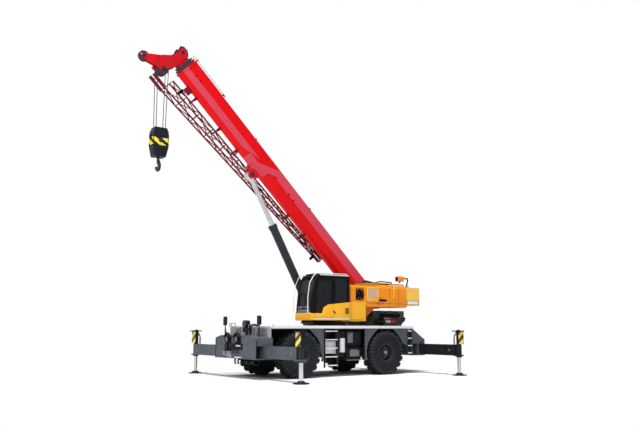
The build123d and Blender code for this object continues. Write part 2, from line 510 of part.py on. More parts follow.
cab = side_prism(cab_outline, CAB_INNER, CAB_OUTER) - side_prism(inner_outline, CAB_INNER + CAB_WALL, CAB_OUTER - CAB_WALL)
DOOR_REAR, DOOR_FRONT, DOOR_BOTTOM, DOOR_TOP = 600, 1400, 2110, 3480
door_outline = [(DOOR_REAR, DOOR_BOTTOM), (DOOR_FRONT + 60, DOOR_BOTTOM), (DOOR_FRONT + 40, 3050), (DOOR_FRONT - 70, DOOR_TOP),
                (DOOR_REAR, DOOR_TOP)]


def inset(outline, gap):
    """A convex outline moved inwards by a gap, from its middle."""
    cx = sum(p[0] for p in outline) / len(outline)
    cz = sum(p[1] for p in outline) / len(outline)
    return [(x + math.copysign(gap, cx - x), z + math.copysign(gap, cz - z)) for x, z in outline]


cab -= side_prism(door_outline, CAB_OUTER - CAB_WALL - 1, CAB_OUTER + 1)
SIDE_WINDOW = [(CAB_REAR + 90, 2620), (DOOR_REAR - 80, 2620), (DOOR_REAR - 80, 3500), (CAB_REAR + 90, 3500)]
cab -= side_prism(SIDE_WINDOW, CAB_OUTER - CAB_WALL - 1, CAB_OUTER + 1)
RIGHT_WINDOW = [(CAB_REAR + 120, 2620), (CAB_FRONT - 150, 2620), (CAB_FRONT - 180, 3050), (CAB_FRONT - 310, 3450),
                (CAB_REAR + 120, 3500)]
cab -= side_prism(RIGHT_WINDOW, CAB_INNER - 1, CAB_INNER + CAB_WALL + 1)
SCREEN_TOP, SCREEN_BACK, PILLAR = 3560, 290, 80
KICK_BOTTOM, KICK_TOP = CAB_FLOOR + 150, CAB_FLOOR + 390
cab -= block(CAB_FRONT - SCREEN_BACK, CAB_FRONT + 10, CAB_INNER + PILLAR, CAB_OUTER - PILLAR, CAB_FLOOR + 430, SCREEN_TOP)
cab -= block(CAB_FRONT - 60, CAB_FRONT + 10, CAB_INNER + PILLAR, CAB_OUTER - PILLAR, KICK_BOTTOM, KICK_TOP)
cab -= block(CAB_REAR - 1, CAB_REAR + CAB_WALL + 1, CAB_INNER + 120, CAB_OUTER - 120, 2700, 3480)
ROOF_LIGHT_REAR, ROOF_LIGHT_FRONT = CAB_REAR + 350, CAB_FRONT - 700
cab -= block(ROOF_LIGHT_REAR, ROOF_LIGHT_FRONT, CAB_INNER + 150, CAB_OUTER - 150, CAB_ROOF - CAB_WALL - 1, CAB_ROOF + 1)
for x in (CAB_REAR + 100, CAB_REAR + 760):
    cab += block(x, x + 120, CAB_INNER - 110 + SEAT, CAB_INNER + 1, table_top + 60, table_top + 180)
HINGE_X, HINGE_Y = DOOR_REAR - 12, CAB_OUTER + 16
for z in (2300, 3250):
    cab += rod((HINGE_X, HINGE_Y, z - 51), (HINGE_X, HINGE_Y, z - 1), 14)
    cab += block(HINGE_X - 60, HINGE_X, CAB_OUTER - 1, HINGE_Y + 6, z - 46, z - 6)
save("cab_shell", cab)
screen = side_prism([(CAB_FRONT - 20, CAB_FLOOR + 430 + SEAT), (CAB_FRONT - 20 - GLASS, CAB_FLOOR + 430 + SEAT),
                     (CAB_FRONT - 90 - GLASS, 3058), (CAB_FRONT - 212 - GLASS, 3450), (CAB_FRONT - SCREEN_BACK + SEAT, SCREEN_TOP - 1 - SEAT),
                     (CAB_FRONT - SCREEN_BACK + SEAT + GLASS, SCREEN_TOP - 1 - SEAT), (CAB_FRONT - 212, 3450), (CAB_FRONT - 90, 3058)],
                    CAB_INNER + PILLAR + SEAT, CAB_OUTER - PILLAR - SEAT)
panes = [
    side_prism(inset(SIDE_WINDOW, SEAT), CAB_OUTER - 30, CAB_OUTER - 30 + GLASS),
    side_prism(inset(RIGHT_WINDOW, SEAT), CAB_INNER + 20, CAB_INNER + 20 + GLASS),
    screen,
    block(CAB_FRONT - 25, CAB_FRONT - 25 + GLASS, CAB_INNER + PILLAR + SEAT, CAB_OUTER - PILLAR - SEAT,
          KICK_BOTTOM + SEAT, KICK_TOP - SEAT),
    block(CAB_REAR + 15, CAB_REAR + 15 + GLASS, CAB_INNER + 120 + SEAT, CAB_OUTER - 120 - SEAT, 2700 + SEAT, 3480 - SEAT),
    block(ROOF_LIGHT_REAR + SEAT, ROOF_LIGHT_FRONT - SEAT, CAB_INNER + 150 + SEAT, CAB_OUTER - 150 - SEAT,
          CAB_ROOF - 30, CAB_ROOF - 30 + GLASS),
]
save("cab_glass", *panes)
DOOR_GAP = 5
door = side_prism(inset(door_outline, DOOR_GAP), CAB_OUTER - CAB_WALL + SEAT, CAB_OUTER)
door_window = inset(door_outline, 75)
door -= side_prism(door_window, CAB_OUTER - CAB_WALL - 1, CAB_OUTER + 1)
for z in (2300, 3250):
    door += rod((HINGE_X, HINGE_Y, z), (HINGE_X, HINGE_Y, z + 50), 14)
    door += block(HINGE_X + 5, DOOR_REAR + 60, CAB_OUTER + SEAT, HINGE_Y + 6, z + 5, z + 45)
    door += block(DOOR_REAR + 10, DOOR_REAR + 60, CAB_OUTER - 1, CAB_OUTER + 1, z + 5, z + 45)
save("door", door)
save("door_glass", side_prism(inset(door_window, SEAT), CAB_OUTER - 28, CAB_OUTER - 28 + GLASS))
SEAT_BACK, SEAT_FRONT, SEAT_LEFT, SEAT_RIGHT = 430, 960, 1190, 730
SEAT_Z = CAB_FLOOR + CAB_WALL + 470
seat = side_prism([(SEAT_BACK + 90, SEAT_Z - 140), (SEAT_FRONT, SEAT_Z - 150), (SEAT_FRONT + 20, SEAT_Z - 40), (SEAT_FRONT - 40, SEAT_Z),
                   (SEAT_BACK + 140, SEAT_Z - 20), (SEAT_BACK + 80, SEAT_Z + 640), (SEAT_BACK + 20, SEAT_Z + 680),
                   (SEAT_BACK - 50, SEAT_Z + 660), (SEAT_BACK, SEAT_Z - 60)], SEAT_RIGHT, SEAT_LEFT)
seat += block(SEAT_BACK + 100, SEAT_FRONT - 80, SEAT_RIGHT + 110, SEAT_LEFT - 110, CAB_FLOOR + CAB_WALL + SEAT, SEAT_Z - 139)
save("seat", seat)
console = side_prism([(1290, CAB_FLOOR + CAB_WALL + SEAT), (1490, CAB_FLOOR + CAB_WALL + SEAT), (1490, CAB_FLOOR + 700),
                      (1400, CAB_FLOOR + 780), (1290, CAB_FLOOR + 720)], 700, 1240)
save("console", console)

# ---- boom: four nested sections, each a closed tube with a flat top and a keel-shaped bottom ----


def tube_outline(width, height):
    """A section's outline as (y, z) points."""
    w, h = width / 2, height / 2
    return [(-w, h), (w, h), (w, -h * 0.25), (w * 0.72, -h * 0.78), (w * 0.3, -h), (-w * 0.3, -h), (-w * 0.72, -h * 0.78), (-w, -h * 0.25)]


def tube(width, height, wall, start, end):
    """A hollow section from start to end along the boom."""
    return front_prism(tube_outline(width, height), start, end) - front_prism(
        tube_outline(width - 2 * wall, height - 2 * wall), start - 1, end + 1)


# column names: along the boom, low and high square to it, outer and inner y
JIB_NEAR = (2150, -250, -90, -690, -560)
JIB_FAR = (BASE_LENGTH - 100, -830, -400, -860, -520)
CHORD, LACE = 44, 26


def jib_point(share, corner):
    """A point on chord 0 to 3 at a share of the jib's length."""
    a = [n + share * (f - n) for n, f in zip(JIB_NEAR, JIB_FAR)]
    return a[0], (a[3], a[4], a[4], a[3])[corner], (a[1], a[1], a[2], a[2])[corner]


base = tube(SECTION_WIDTH, SECTION_HEIGHT, SECTION_WALL, -BASE_TAIL, BASE_LENGTH)
base += tube(SECTION_WIDTH + 2 * COLLAR_LIP, SECTION_HEIGHT + 2 * COLLAR_LIP, SECTION_WALL + COLLAR_LIP - 1, BASE_LENGTH - COLLAR, BASE_LENGTH)
base += across(0, 0, 150, -SECTION_WIDTH / 2 - 35, SECTION_WIDTH / 2 + 35)
base -= block(-BASE_TAIL - 1, 300, -SECTION_WIDTH / 2 + SECTION_WALL, SECTION_WIDTH / 2 - SECTION_WALL, -151, 151)
base += across(0, 0, FOOT_PIN, -CHEEK_Y - CHEEK_PLATE + 1, CHEEK_Y + CHEEK_PLATE - 1)
for side in (-1, 1):
    y0, y1 = sorted((side * (RAM_EYE_HALF + SIDE_GAP), side * (RAM_EYE_HALF + SIDE_GAP + 40)))
    ear = side_prism([(RAM_ALONG - 340, -SECTION_HEIGHT / 2 + 60), (RAM_ALONG + 340, -SECTION_HEIGHT / 2 + 60), (RAM_ALONG + 110, RAM_PERP - 60),
                      (RAM_ALONG + 60, RAM_PERP - 105), (RAM_ALONG - 60, RAM_PERP - 105), (RAM_ALONG - 110, RAM_PERP - 60)], y0, y1)
    base += ear - front_prism(tube_outline(SECTION_WIDTH - 2, SECTION_HEIGHT - 2), RAM_ALONG - 500, RAM_ALONG + 500)
base += across(RAM_ALONG, RAM_PERP, RAM_PIN, -RAM_EYE_HALF - SIDE_GAP - 41, RAM_EYE_HALF + SIDE_GAP + 41)
for along in (JIB_NEAR[0] + 750, JIB_NEAR[0] + 5450, JIB_FAR[0] - 550):
    face_y = jib_point((along + 25 - JIB_NEAR[0]) / (JIB_FAR[0] - JIB_NEAR[0]), 2)[1] + CHORD / 2 + SEAT
    chord_z = jib_point((along - JIB_NEAR[0]) / (JIB_FAR[0] - JIB_NEAR[0]), 2)[2]
    base += block(along - 25, along + 25, face_y, face_y + 40, chord_z - 40, 0)
    base += block(along - 25, along + 25, face_y, -SECTION_WIDTH / 2 + 1, -60, 0)
save("boom_base", BOOM * base)

INNER_START = 420
SHEAVE_PIN, NOSE_PIN, NOSE_PLATE_Y = 35, 30, 62
GROOVE = 22
for n, name in ((1, "boom_second"), (2, "boom_third"), (3, "boom_tip")):
    width, height = SECTION_WIDTH - n * 2 * SECTION_STEP, SECTION_HEIGHT - n * 2 * SECTION_STEP
    end = BASE_LENGTH + n * (COLLAR + 20)
    section = tube(width, height, SECTION_WALL, INNER_START + n * 60, end if n < 3 else HEAD_ROOT + 1)
    if n < 3:
        section += tube(width + 2 * COLLAR_LIP, height + 2 * COLLAR_LIP, SECTION_WALL + COLLAR_LIP - 1, end - COLLAR, end)
    pad_gap = SECTION_STEP - SECTION_WALL
    for z in (height / 2 - 1, -height / 2 - pad_gap + SEAT):
        for start in (INNER_START + n * 60 + 50, BASE_LENGTH - 400 + n * 60):
            pad_half = width * 0.12
            section += block(start, start + 200, -pad_half, pad_half, z, z + pad_gap + 1 - SEAT)
    if n == 3:
        # the two side plates: column names along from the neck, square to the boom
        head_outline = [(HEAD_ROOT + d, perp) for d, perp in (
            (0, -300), (0, 270), (160, 370), (330, 370), (400, 300), (330, 40), (400, -230), (600, -520), (450, -950), (200, -900),
            (50, -500))]
        for side in (-1, 1):
            y0, y1 = sorted((side * (HEAD_HALF - HEAD_PLATE), side * HEAD_HALF))
            section += side_prism(head_outline, y0, y1)
        section += block(HEAD_ROOT, HEAD_ROOT + 50, -HEAD_HALF, HEAD_HALF, -290, 260)
        for along, perp, radius in ((HOIST_ALONG, HOIST_PERP, SHEAVE_PIN), (TOP_ALONG, TOP_PERP, SHEAVE_PIN),
                                    (HEAD_ROOT + 470, -470, 40), (HEAD_ROOT + 480, -830, 30)):
            section += across(along, perp, radius, -HEAD_HALF, HEAD_HALF)
        nose_outline = [(HEAD_ROOT + 420, -420), (HEAD_ROOT + 540, -400), (NOSE_ALONG + 70, NOSE_PERP + 60),
                        (NOSE_ALONG + 90, NOSE_PERP), (NOSE_ALONG + 70, NOSE_PERP - 60), (NOSE_ALONG - 60, NOSE_PERP - 90),
                        (HEAD_ROOT + 430, -890), (HEAD_ROOT + 420, -760)]
        for side in (-1, 1):
            y0, y1 = sorted((side * NOSE_PLATE_Y, side * (NOSE_PLATE_Y + 22)))
            section += side_prism(nose_outline, y0, y1)
        section += across(NOSE_ALONG, NOSE_PERP, NOSE_PIN, -NOSE_PLATE_Y - 22, NOSE_PLATE_Y + 22)
    save(name, BOOM * section)


def sheave(along, perp, radius, bore, y0, y1):
    """A grooved pulley on a pin."""
    half = (y1 - y0) / 2
    mid = (y0 + y1) / 2
    outline = [(bore, -half), (radius, -half), (radius - GROOVE, 0), (radius, half), (bore, half)]
    face = make_face(Polyline(*[(along + r, mid + w, perp) for r, w in outline], close=True))
    return revolve(face, Axis((along, mid, perp), (0, 1, 0)), 360)


sheaves = []
for y in (-112, -36, 36, 112):
    sheaves.append(sheave(HOIST_ALONG, HOIST_PERP, HOIST_SHEAVE, SHEAVE_PIN + SEAT, y - 22, y + 22))
for y in (-45, 45):
    sheaves.append(sheave(TOP_ALONG, TOP_PERP, TOP_SHEAVE, SHEAVE_PIN + SEAT, y - 22, y + 22))
nose_sheave = sheave(NOSE_ALONG, NOSE_PERP, NOSE_SHEAVE, NOSE_PIN + SEAT, -45, 45)
SPOKES = 5
for i in range(SPOKES):
    turn = math.radians(360 / SPOKES * i)
    nose_sheave -= across(NOSE_ALONG + 105 * math.cos(turn), NOSE_PERP + 105 * math.sin(turn), 42, -46, 46)
sheaves.append(nose_sheave)
save("head_sheaves", BOOM * Compound(children=[s for whole in sheaves for s in whole.solids()]))

# ---- lattice jib stowed along the boom's right side ----
JIB_BAYS = 12
jib = bar(jib_point(0, 0), jib_point(1, 0), CHORD)
for corner in (1, 2, 3):
    jib += bar(jib_point(0, corner), jib_point(1, corner), CHORD)
for i in range(JIB_BAYS + 1):
    for corner in range(4):
        here, there = jib_point(i / JIB_BAYS, corner), jib_point(i / JIB_BAYS, (corner + 1) % 4)
        jib += bar(here, there, LACE)
        if i < JIB_BAYS:
            ends = (here, jib_point((i + 1) / JIB_BAYS, (corner + 1) % 4)) if i % 2 else (there, jib_point((i + 1) / JIB_BAYS, corner))
            jib += bar(*ends, LACE)
for corner in (0, 1):
    a = jib_point(1, corner)
    jib += block(a[0] - 20, a[0] + 620, a[1] - 20, a[1] + 20, a[2] - 60, a[2] + 60)
save("jib", BOOM * jib)

# ---- luffing ram: rod hangs from the boom's ears, barrel slides on the rod, its foot lies between the table's bosses ----
ram_x, ram_z = boom_point(RAM_ALONG, RAM_PERP)
ram_length = math.hypot(ram_x - RAM_FOOT_X, ram_z - RAM_FOOT_Z)
ram_way = Vector((RAM_FOOT_X - ram_x) / ram_length, 0, (RAM_FOOT_Z - ram_z) / ram_length)
eye_at, foot_at = Vector(ram_x, 0, ram_z), Vector(RAM_FOOT_X, 0, RAM_FOOT_Z)


def along_ram(distance):
    """The point at a distance from the rod's eye towards the foot."""
    return tuple(eye_at + ram_way * distance)


ram_rod = rod(along_ram(120), along_ram(RAM_ROD_LENGTH), RAM_ROD) + rod(along_ram(RAM_ROD_LENGTH - 1), along_ram(RAM_ROD_LENGTH + 120), RAM_BORE - LEG_GAP)
ram_rod += across(ram_x, ram_z, RAM_EYE, -RAM_EYE_HALF, RAM_EYE_HALF)
ram_rod -= across(ram_x, ram_z, RAM_PIN + RUN, -RAM_EYE_HALF - 1, RAM_EYE_HALF + 1)
save("ram_rod", ram_rod)
gland = ram_length - RAM_BARREL_LENGTH
barrel = rod(along_ram(gland), along_ram(ram_length - 100), RAM_BARREL) + rod(along_ram(gland), along_ram(gland + 150), RAM_BARREL + 18)
barrel -= rod(along_ram(gland + 120), along_ram(ram_length - 260), RAM_BORE)
barrel -= rod(along_ram(gland - 1), along_ram(gland + 121), RAM_ROD + LEG_GAP)
barrel += across(RAM_FOOT_X, RAM_FOOT_Z, RAM_EYE, -RAM_EYE_HALF, RAM_EYE_HALF) - rod(along_ram(gland + 120), along_ram(ram_length - 260), RAM_BORE)
save("ram_barrel", barrel)

# ---- hoist rope falls, hook block and swivelling hook ----
hoist_x, hoist_z = boom_point(HOIST_ALONG, HOIST_PERP)
falls = []
fall_offset = HOIST_SHEAVE - GROOVE + (ROPE + SEAT) * math.sqrt(2)
for y in (-112, 112):
    for x in (hoist_x - fall_offset, hoist_x + fall_offset):
        falls.append(rod((x, y, BLOCK_TOP + SEAT), (x, y, hoist_z), ROPE))
save("hoist_ropes", *falls)
block_outline = [(-BLOCK_HALF_X * 0.75, BLOCK_TOP), (-BLOCK_HALF_X, BLOCK_TOP - 230), (-BLOCK_HALF_X, BLOCK_TOP - 620),
                 (-BLOCK_HALF_X * 0.7, BLOCK_BOTTOM), (BLOCK_HALF_X * 0.7, BLOCK_BOTTOM), (BLOCK_HALF_X, BLOCK_TOP - 620),
                 (BLOCK_HALF_X, BLOCK_TOP - 230), (BLOCK_HALF_X * 0.75, BLOCK_TOP)]
block_body = side_prism([(hoist_x + x, z) for x, z in block_outline], -BLOCK_HALF_Y, BLOCK_HALF_Y)
BLOCK_SLOT = 60
block_body -= block(hoist_x - BLOCK_HALF_X - 1, hoist_x - BLOCK_HALF_X + 70, -BLOCK_SLOT, BLOCK_SLOT, BLOCK_TOP - 600, BLOCK_TOP - 240)
block_body -= block(hoist_x + BLOCK_HALF_X - 70, hoist_x + BLOCK_HALF_X + 1, -BLOCK_SLOT, BLOCK_SLOT, BLOCK_TOP - 600, BLOCK_TOP - 240)
save("hook_block", block_body)
# the hook lies across the block, so its outline is drawn in y and z: an open bowl with a tapered point
shank_bottom = BLOCK_BOTTOM - 120
BOWL_Z, BOWL_OUTER, BOWL_INNER, HOOK_THICK = HOOK_BOTTOM + 175, 175, 80, 90
hook = rod((hoist_x, 0, BLOCK_BOTTOM - SEAT), (hoist_x, 0, shank_bottom - 40), 50)
bowl = rod((hoist_x - HOOK_THICK / 2, 0, BOWL_Z), (hoist_x + HOOK_THICK / 2, 0, BOWL_Z), BOWL_OUTER)
bowl = chamfer(bowl.edges().filter_by(GeomType.CIRCLE), 18)
bowl -= rod((hoist_x - HOOK_THICK, -10, BOWL_Z), (hoist_x + HOOK_THICK, -10, BOWL_Z), BOWL_INNER)
bowl -= block(hoist_x - HOOK_THICK, hoist_x + HOOK_THICK, -BOWL_OUTER - 10, -20, BOWL_Z + 10, BOWL_Z + BOWL_OUTER + 10)
hook += bowl
hook += front_prism([(45, BOWL_Z + 100), (150, BOWL_Z + 80), (60, shank_bottom), (-50, shank_bottom), (-50, shank_bottom - 30)],
                    hoist_x - 38, hoist_x + 38)
save("hook", hook)
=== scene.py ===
# %% [markdown]
# A rough-terrain mobile crane stands on its outriggers with the boom raised. The solid pieces
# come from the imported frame; this script gives every piece its finish and adds the small parts.

# %% the frame
import bpy
import bmesh
import math
from mathutils import Vector, Matrix


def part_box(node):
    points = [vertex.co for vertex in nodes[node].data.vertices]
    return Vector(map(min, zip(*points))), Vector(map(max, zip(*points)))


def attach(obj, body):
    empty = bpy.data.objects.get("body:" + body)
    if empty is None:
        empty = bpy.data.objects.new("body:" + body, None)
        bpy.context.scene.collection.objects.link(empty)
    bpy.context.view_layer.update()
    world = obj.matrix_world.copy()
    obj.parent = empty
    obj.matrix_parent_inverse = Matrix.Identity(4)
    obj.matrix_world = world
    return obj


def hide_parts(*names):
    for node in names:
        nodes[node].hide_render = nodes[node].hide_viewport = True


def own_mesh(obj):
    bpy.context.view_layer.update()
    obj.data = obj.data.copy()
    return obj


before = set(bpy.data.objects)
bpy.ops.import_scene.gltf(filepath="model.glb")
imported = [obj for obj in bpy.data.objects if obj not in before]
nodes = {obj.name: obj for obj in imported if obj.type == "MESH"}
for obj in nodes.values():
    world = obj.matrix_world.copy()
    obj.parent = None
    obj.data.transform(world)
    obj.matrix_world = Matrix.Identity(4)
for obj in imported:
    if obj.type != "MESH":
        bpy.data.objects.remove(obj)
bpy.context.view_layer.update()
LUFF = math.radians(44.4)
FOOT = Vector((-1.9, 0, 3.0))
ALONG = Vector((math.cos(LUFF), 0, math.sin(LUFF)))
SQUARE = Vector((-math.sin(LUFF), 0, math.cos(LUFF)))


def boom(along, perp, y=0.0):
    """A world point given along the boom, square to it and across it, in metres."""
    p = FOOT + ALONG * along + SQUARE * perp
    return Vector((p.x, y, p.z))


print("frame loaded", len(nodes))

# %% [markdown]
# Finishes. Each is procedural: a base colour broken up by large soft blotches, fine grain in the
# roughness and a light bump, with dust gathering low down, as on a machine that has worked a while.

# %% finish helpers


def tree(name):
    """A new material with its node tree emptied to a shader and an output."""
    mat = bpy.data.materials.new(name)
    mat.use_nodes = True
    nt = mat.node_tree
    nt.nodes.clear()
    out = nt.nodes.new("ShaderNodeOutputMaterial")
    bsdf = nt.nodes.new("ShaderNodeBsdfPrincipled")
    nt.links.new(bsdf.outputs[0], out.inputs[0])
    coord = nt.nodes.new("ShaderNodeTexCoord")
    return mat, nt, bsdf, coord.outputs["Object"]


def noise(nt, vec, scale, detail=4.0, rough=0.6):
    n = nt.nodes.new("ShaderNodeTexNoise")
    n.inputs["Scale"].default_value = scale
    n.inputs["Detail"].default_value = detail
    n.inputs["Roughness"].default_value = rough
    nt.links.new(vec, n.inputs["Vector"])
    return n.outputs["Fac"]


def ramp(nt, fac, lo, hi, a=(0, 0, 0, 1), b=(1, 1, 1, 1)):
    r = nt.nodes.new("ShaderNodeValToRGB")
    r.color_ramp.elements[0].position = lo
    r.color_ramp.elements[1].position = hi
    r.color_ramp.elements[0].color = a
    r.color_ramp.elements[1].color = b
    nt.links.new(fac, r.inputs["Fac"])
    return r.outputs["Color"]


def mix(nt, fac, a, b, kind="MIX"):
    m = nt.nodes.new("ShaderNodeMix")
    m.data_type = "RGBA"
    m.blend_type = kind
    for value, socket in ((fac, m.inputs[0]), (a, m.inputs[6]), (b, m.inputs[7])):
        if hasattr(value, "is_linked"):
            nt.links.new(value, socket)
        elif socket.type == "RGBA":
            socket.default_value = (*value[:3], 1)
        else:
            socket.default_value = value
    return m.outputs[2]


def math_node(nt, op, a, b=0.0):
    m = nt.nodes.new("ShaderNodeMath")
    m.operation = op
    for value, socket in ((a, m.inputs[0]), (b, m.inputs[1])):
        if hasattr(value, "is_linked"):
            nt.links.new(value, socket)
        else:
            socket.default_value = value
    return m.outputs[0]


def bump(nt, bsdf, height, strength, distance=0.004):
    b = nt.nodes.new("ShaderNodeBump")
    b.inputs["Strength"].default_value = strength
    b.inputs["Distance"].default_value = distance
    nt.links.new(height, b.inputs["Height"])
    nt.links.new(b.outputs[0], bsdf.inputs["Normal"])


def finish(name, color, rough=0.4, metal=0.0, vary=0.12, dust=0.15, grain=60.0, rise=0.25, coat=0.0,
           dust_color=(0.3, 0.29, 0.27), top=3.0, spec=0.16, second=None, mask=None):
    """Paint, plastic, metal or rubber with blotches, worn grain and dust that thins with height."""
    mat, nt, bsdf, vec = tree(name)
    big = noise(nt, vec, 1.7, 5.0)
    fine = noise(nt, vec, grain, 3.0)
    dark = tuple(c * (1 - vary * 2.0) for c in color)
    light = tuple(min(1.0, c * (1 + vary)) for c in color)
    base = ramp(nt, big, 0.3, 0.7, (*dark, 1), (*light, 1))
    sep = nt.nodes.new("ShaderNodeSeparateXYZ")
    nt.links.new(vec, sep.inputs[0])
    low = nt.nodes.new("ShaderNodeMapRange")
    low.inputs["From Min"].default_value = 0.0
    low.inputs["From Max"].default_value = top
    low.inputs["To Min"].default_value = dust
    low.inputs["To Max"].default_value = dust * 0.25
    nt.links.new(sep.outputs[2], low.inputs["Value"])
    patch = noise(nt, vec, 9.0, 6.0, 0.7)
    amount = math_node(nt, "MULTIPLY", low.outputs[0], ramp(nt, patch, 0.35, 0.75))
    if mask:
        base = mix(nt, mask(nt, vec), base, mix(nt, big, tuple(c * 0.9 for c in second), second))
    nt.links.new(mix(nt, amount, base, dust_color), bsdf.inputs["Base Color"])
    bsdf.inputs["Specular IOR Level"].default_value = spec
    spread = nt.nodes.new("ShaderNodeMapRange")
    spread.inputs["To Min"].default_value = max(0.03, rough - 0.08)
    spread.inputs["To Max"].default_value = min(1.0, rough + 0.14)
    nt.links.new(patch, spread.inputs["Value"])
    nt.links.new(spread.outputs[0], bsdf.inputs["Roughness"])
    bsdf.inputs["Metallic"].default_value = metal
    bsdf.inputs["Coat Weight"].default_value = coat
    bsdf.inputs["Coat Roughness"].default_value = 0.12
    bump(nt, bsdf, fine, rise)
    return mat


def linear(nt, vec, direction, offset=0.0):
    """Distance of a point along a direction, from an offset."""
    dot = nt.nodes.new("ShaderNodeVectorMath")
    dot.operation = "DOT_PRODUCT"
    dot.inputs[1].default_value = direction
    nt.links.new(vec, dot.inputs[0])
    return math_node(nt, "SUBTRACT", dot.outputs["Value"], offset)


def between(nt, value, low, high):
    """One inside a span, nought outside."""
    return math_node(nt, "MULTIPLY", math_node(nt, "GREATER_THAN", value, low),
                     math_node(nt, "LESS_THAN", value, high))


def striped(name, direction, period, a, b, rough=0.4, shift=0.0):
    """Two colours in hard bands square to a direction."""
    mat, nt, bsdf, vec = tree(name)
    dot = nt.nodes.new("ShaderNodeVectorMath")
    dot.operation = "DOT_PRODUCT"
    dot.inputs[1].default_value = direction
    nt.links.new(vec, dot.inputs[0])
    turn = math_node(nt, "FRACT", math_node(nt, "ADD",
                                            math_node(nt, "MULTIPLY", dot.outputs["Value"], 1 / period),
                                                shift))
    hard = math_node(nt, "GREATER_THAN", turn, 0.5)
    worn = noise(nt, vec, 30.0, 5.0, 0.7)
    shade = mix(nt, ramp(nt, worn, 0.55, 0.8), mix(nt, hard, a, b), (0.25, 0.24, 0.2))
    nt.links.new(shade, bsdf.inputs["Base Color"])
    bsdf.inputs["Roughness"].default_value = rough
    bump(nt, bsdf, worn, 0.1)
    return mat


# %% [markdown]
# The boom's red carries a painted highlight, a paler band: on the lower side from the head to the ram's
# ears, where it leaps across in a jagged flash, and on the upper side from there to the foot.

# %% finishes


# Mask of the painted highlight: the paler pink band standing for light on the boom's red.
def boom_highlight_band(nt, vec):
    along = linear(nt, vec, ALONG, FOOT.dot(ALONG))
    perp = linear(nt, vec, SQUARE, FOOT.dot(SQUARE))
    tip = math_node(nt, "ADD", math_node(nt, "MULTIPLY", perp, 3.2), along)
    outer = math_node(nt, "MULTIPLY", math_node(nt, "GREATER_THAN", tip, 6.9),
                      between(nt, perp, -0.25, -0.02))
    low = math_node(nt, "MULTIPLY", between(nt, perp, -0.4, -0.16), between(nt, along, 6.4, 7.4))
    outer = math_node(nt, "MAXIMUM", outer, low)
    inner = math_node(nt, "MULTIPLY", math_node(nt, "LESS_THAN", along, 6.0),
                      math_node(nt, "GREATER_THAN", perp, 0.0))
    slant = math_node(nt, "ADD", perp, math_node(nt, "MULTIPLY", along, 0.62))
    flash = math_node(nt, "MULTIPLY", between(nt, slant, 3.83, 4.13), between(nt, along, 5.95, 7.3))
    return math_node(nt, "MINIMUM", math_node(nt, "ADD", math_node(nt, "ADD", outer, inner), flash), 1.0)


def leg_ends(nt, vec):
    across = math_node(nt, "ABSOLUTE", linear(nt, vec, (0, 1, 0)), 0.0)
    return math_node(nt, "GREATER_THAN", across, 3.335)


def table_low(nt, vec):
    return math_node(nt, "LESS_THAN", linear(nt, vec, (0, 0, 1)), 2.035)


def section_end(nt, vec):
    return math_node(nt, "GREATER_THAN", linear(nt, vec, ALONG, FOOT.dot(ALONG)), 11.12)


def ladder_sides(nt, vec):
    x = linear(nt, vec, (1, 0, 0))
    ahead = math_node(nt, "GREATER_THAN", x, 0.0)
    front = math_node(nt, "GREATER_THAN", math_node(nt, "ABSOLUTE", math_node(nt, "SUBTRACT", x, 0.7), 0.0),
                      0.268)
    rear = math_node(nt, "GREATER_THAN", math_node(nt, "ABSOLUTE", math_node(nt, "ADD", x, 3.0575), 0.0),
                     0.105)
    return math_node(nt, "ADD", math_node(nt, "MULTIPLY", front, ahead),
                     math_node(nt, "MULTIPLY", rear, math_node(nt, "SUBTRACT", 1.0, ahead)))


def hook_low(nt, vec):
    return math_node(nt, "LESS_THAN", linear(nt, vec, (0, 0, 1)), 0.93)


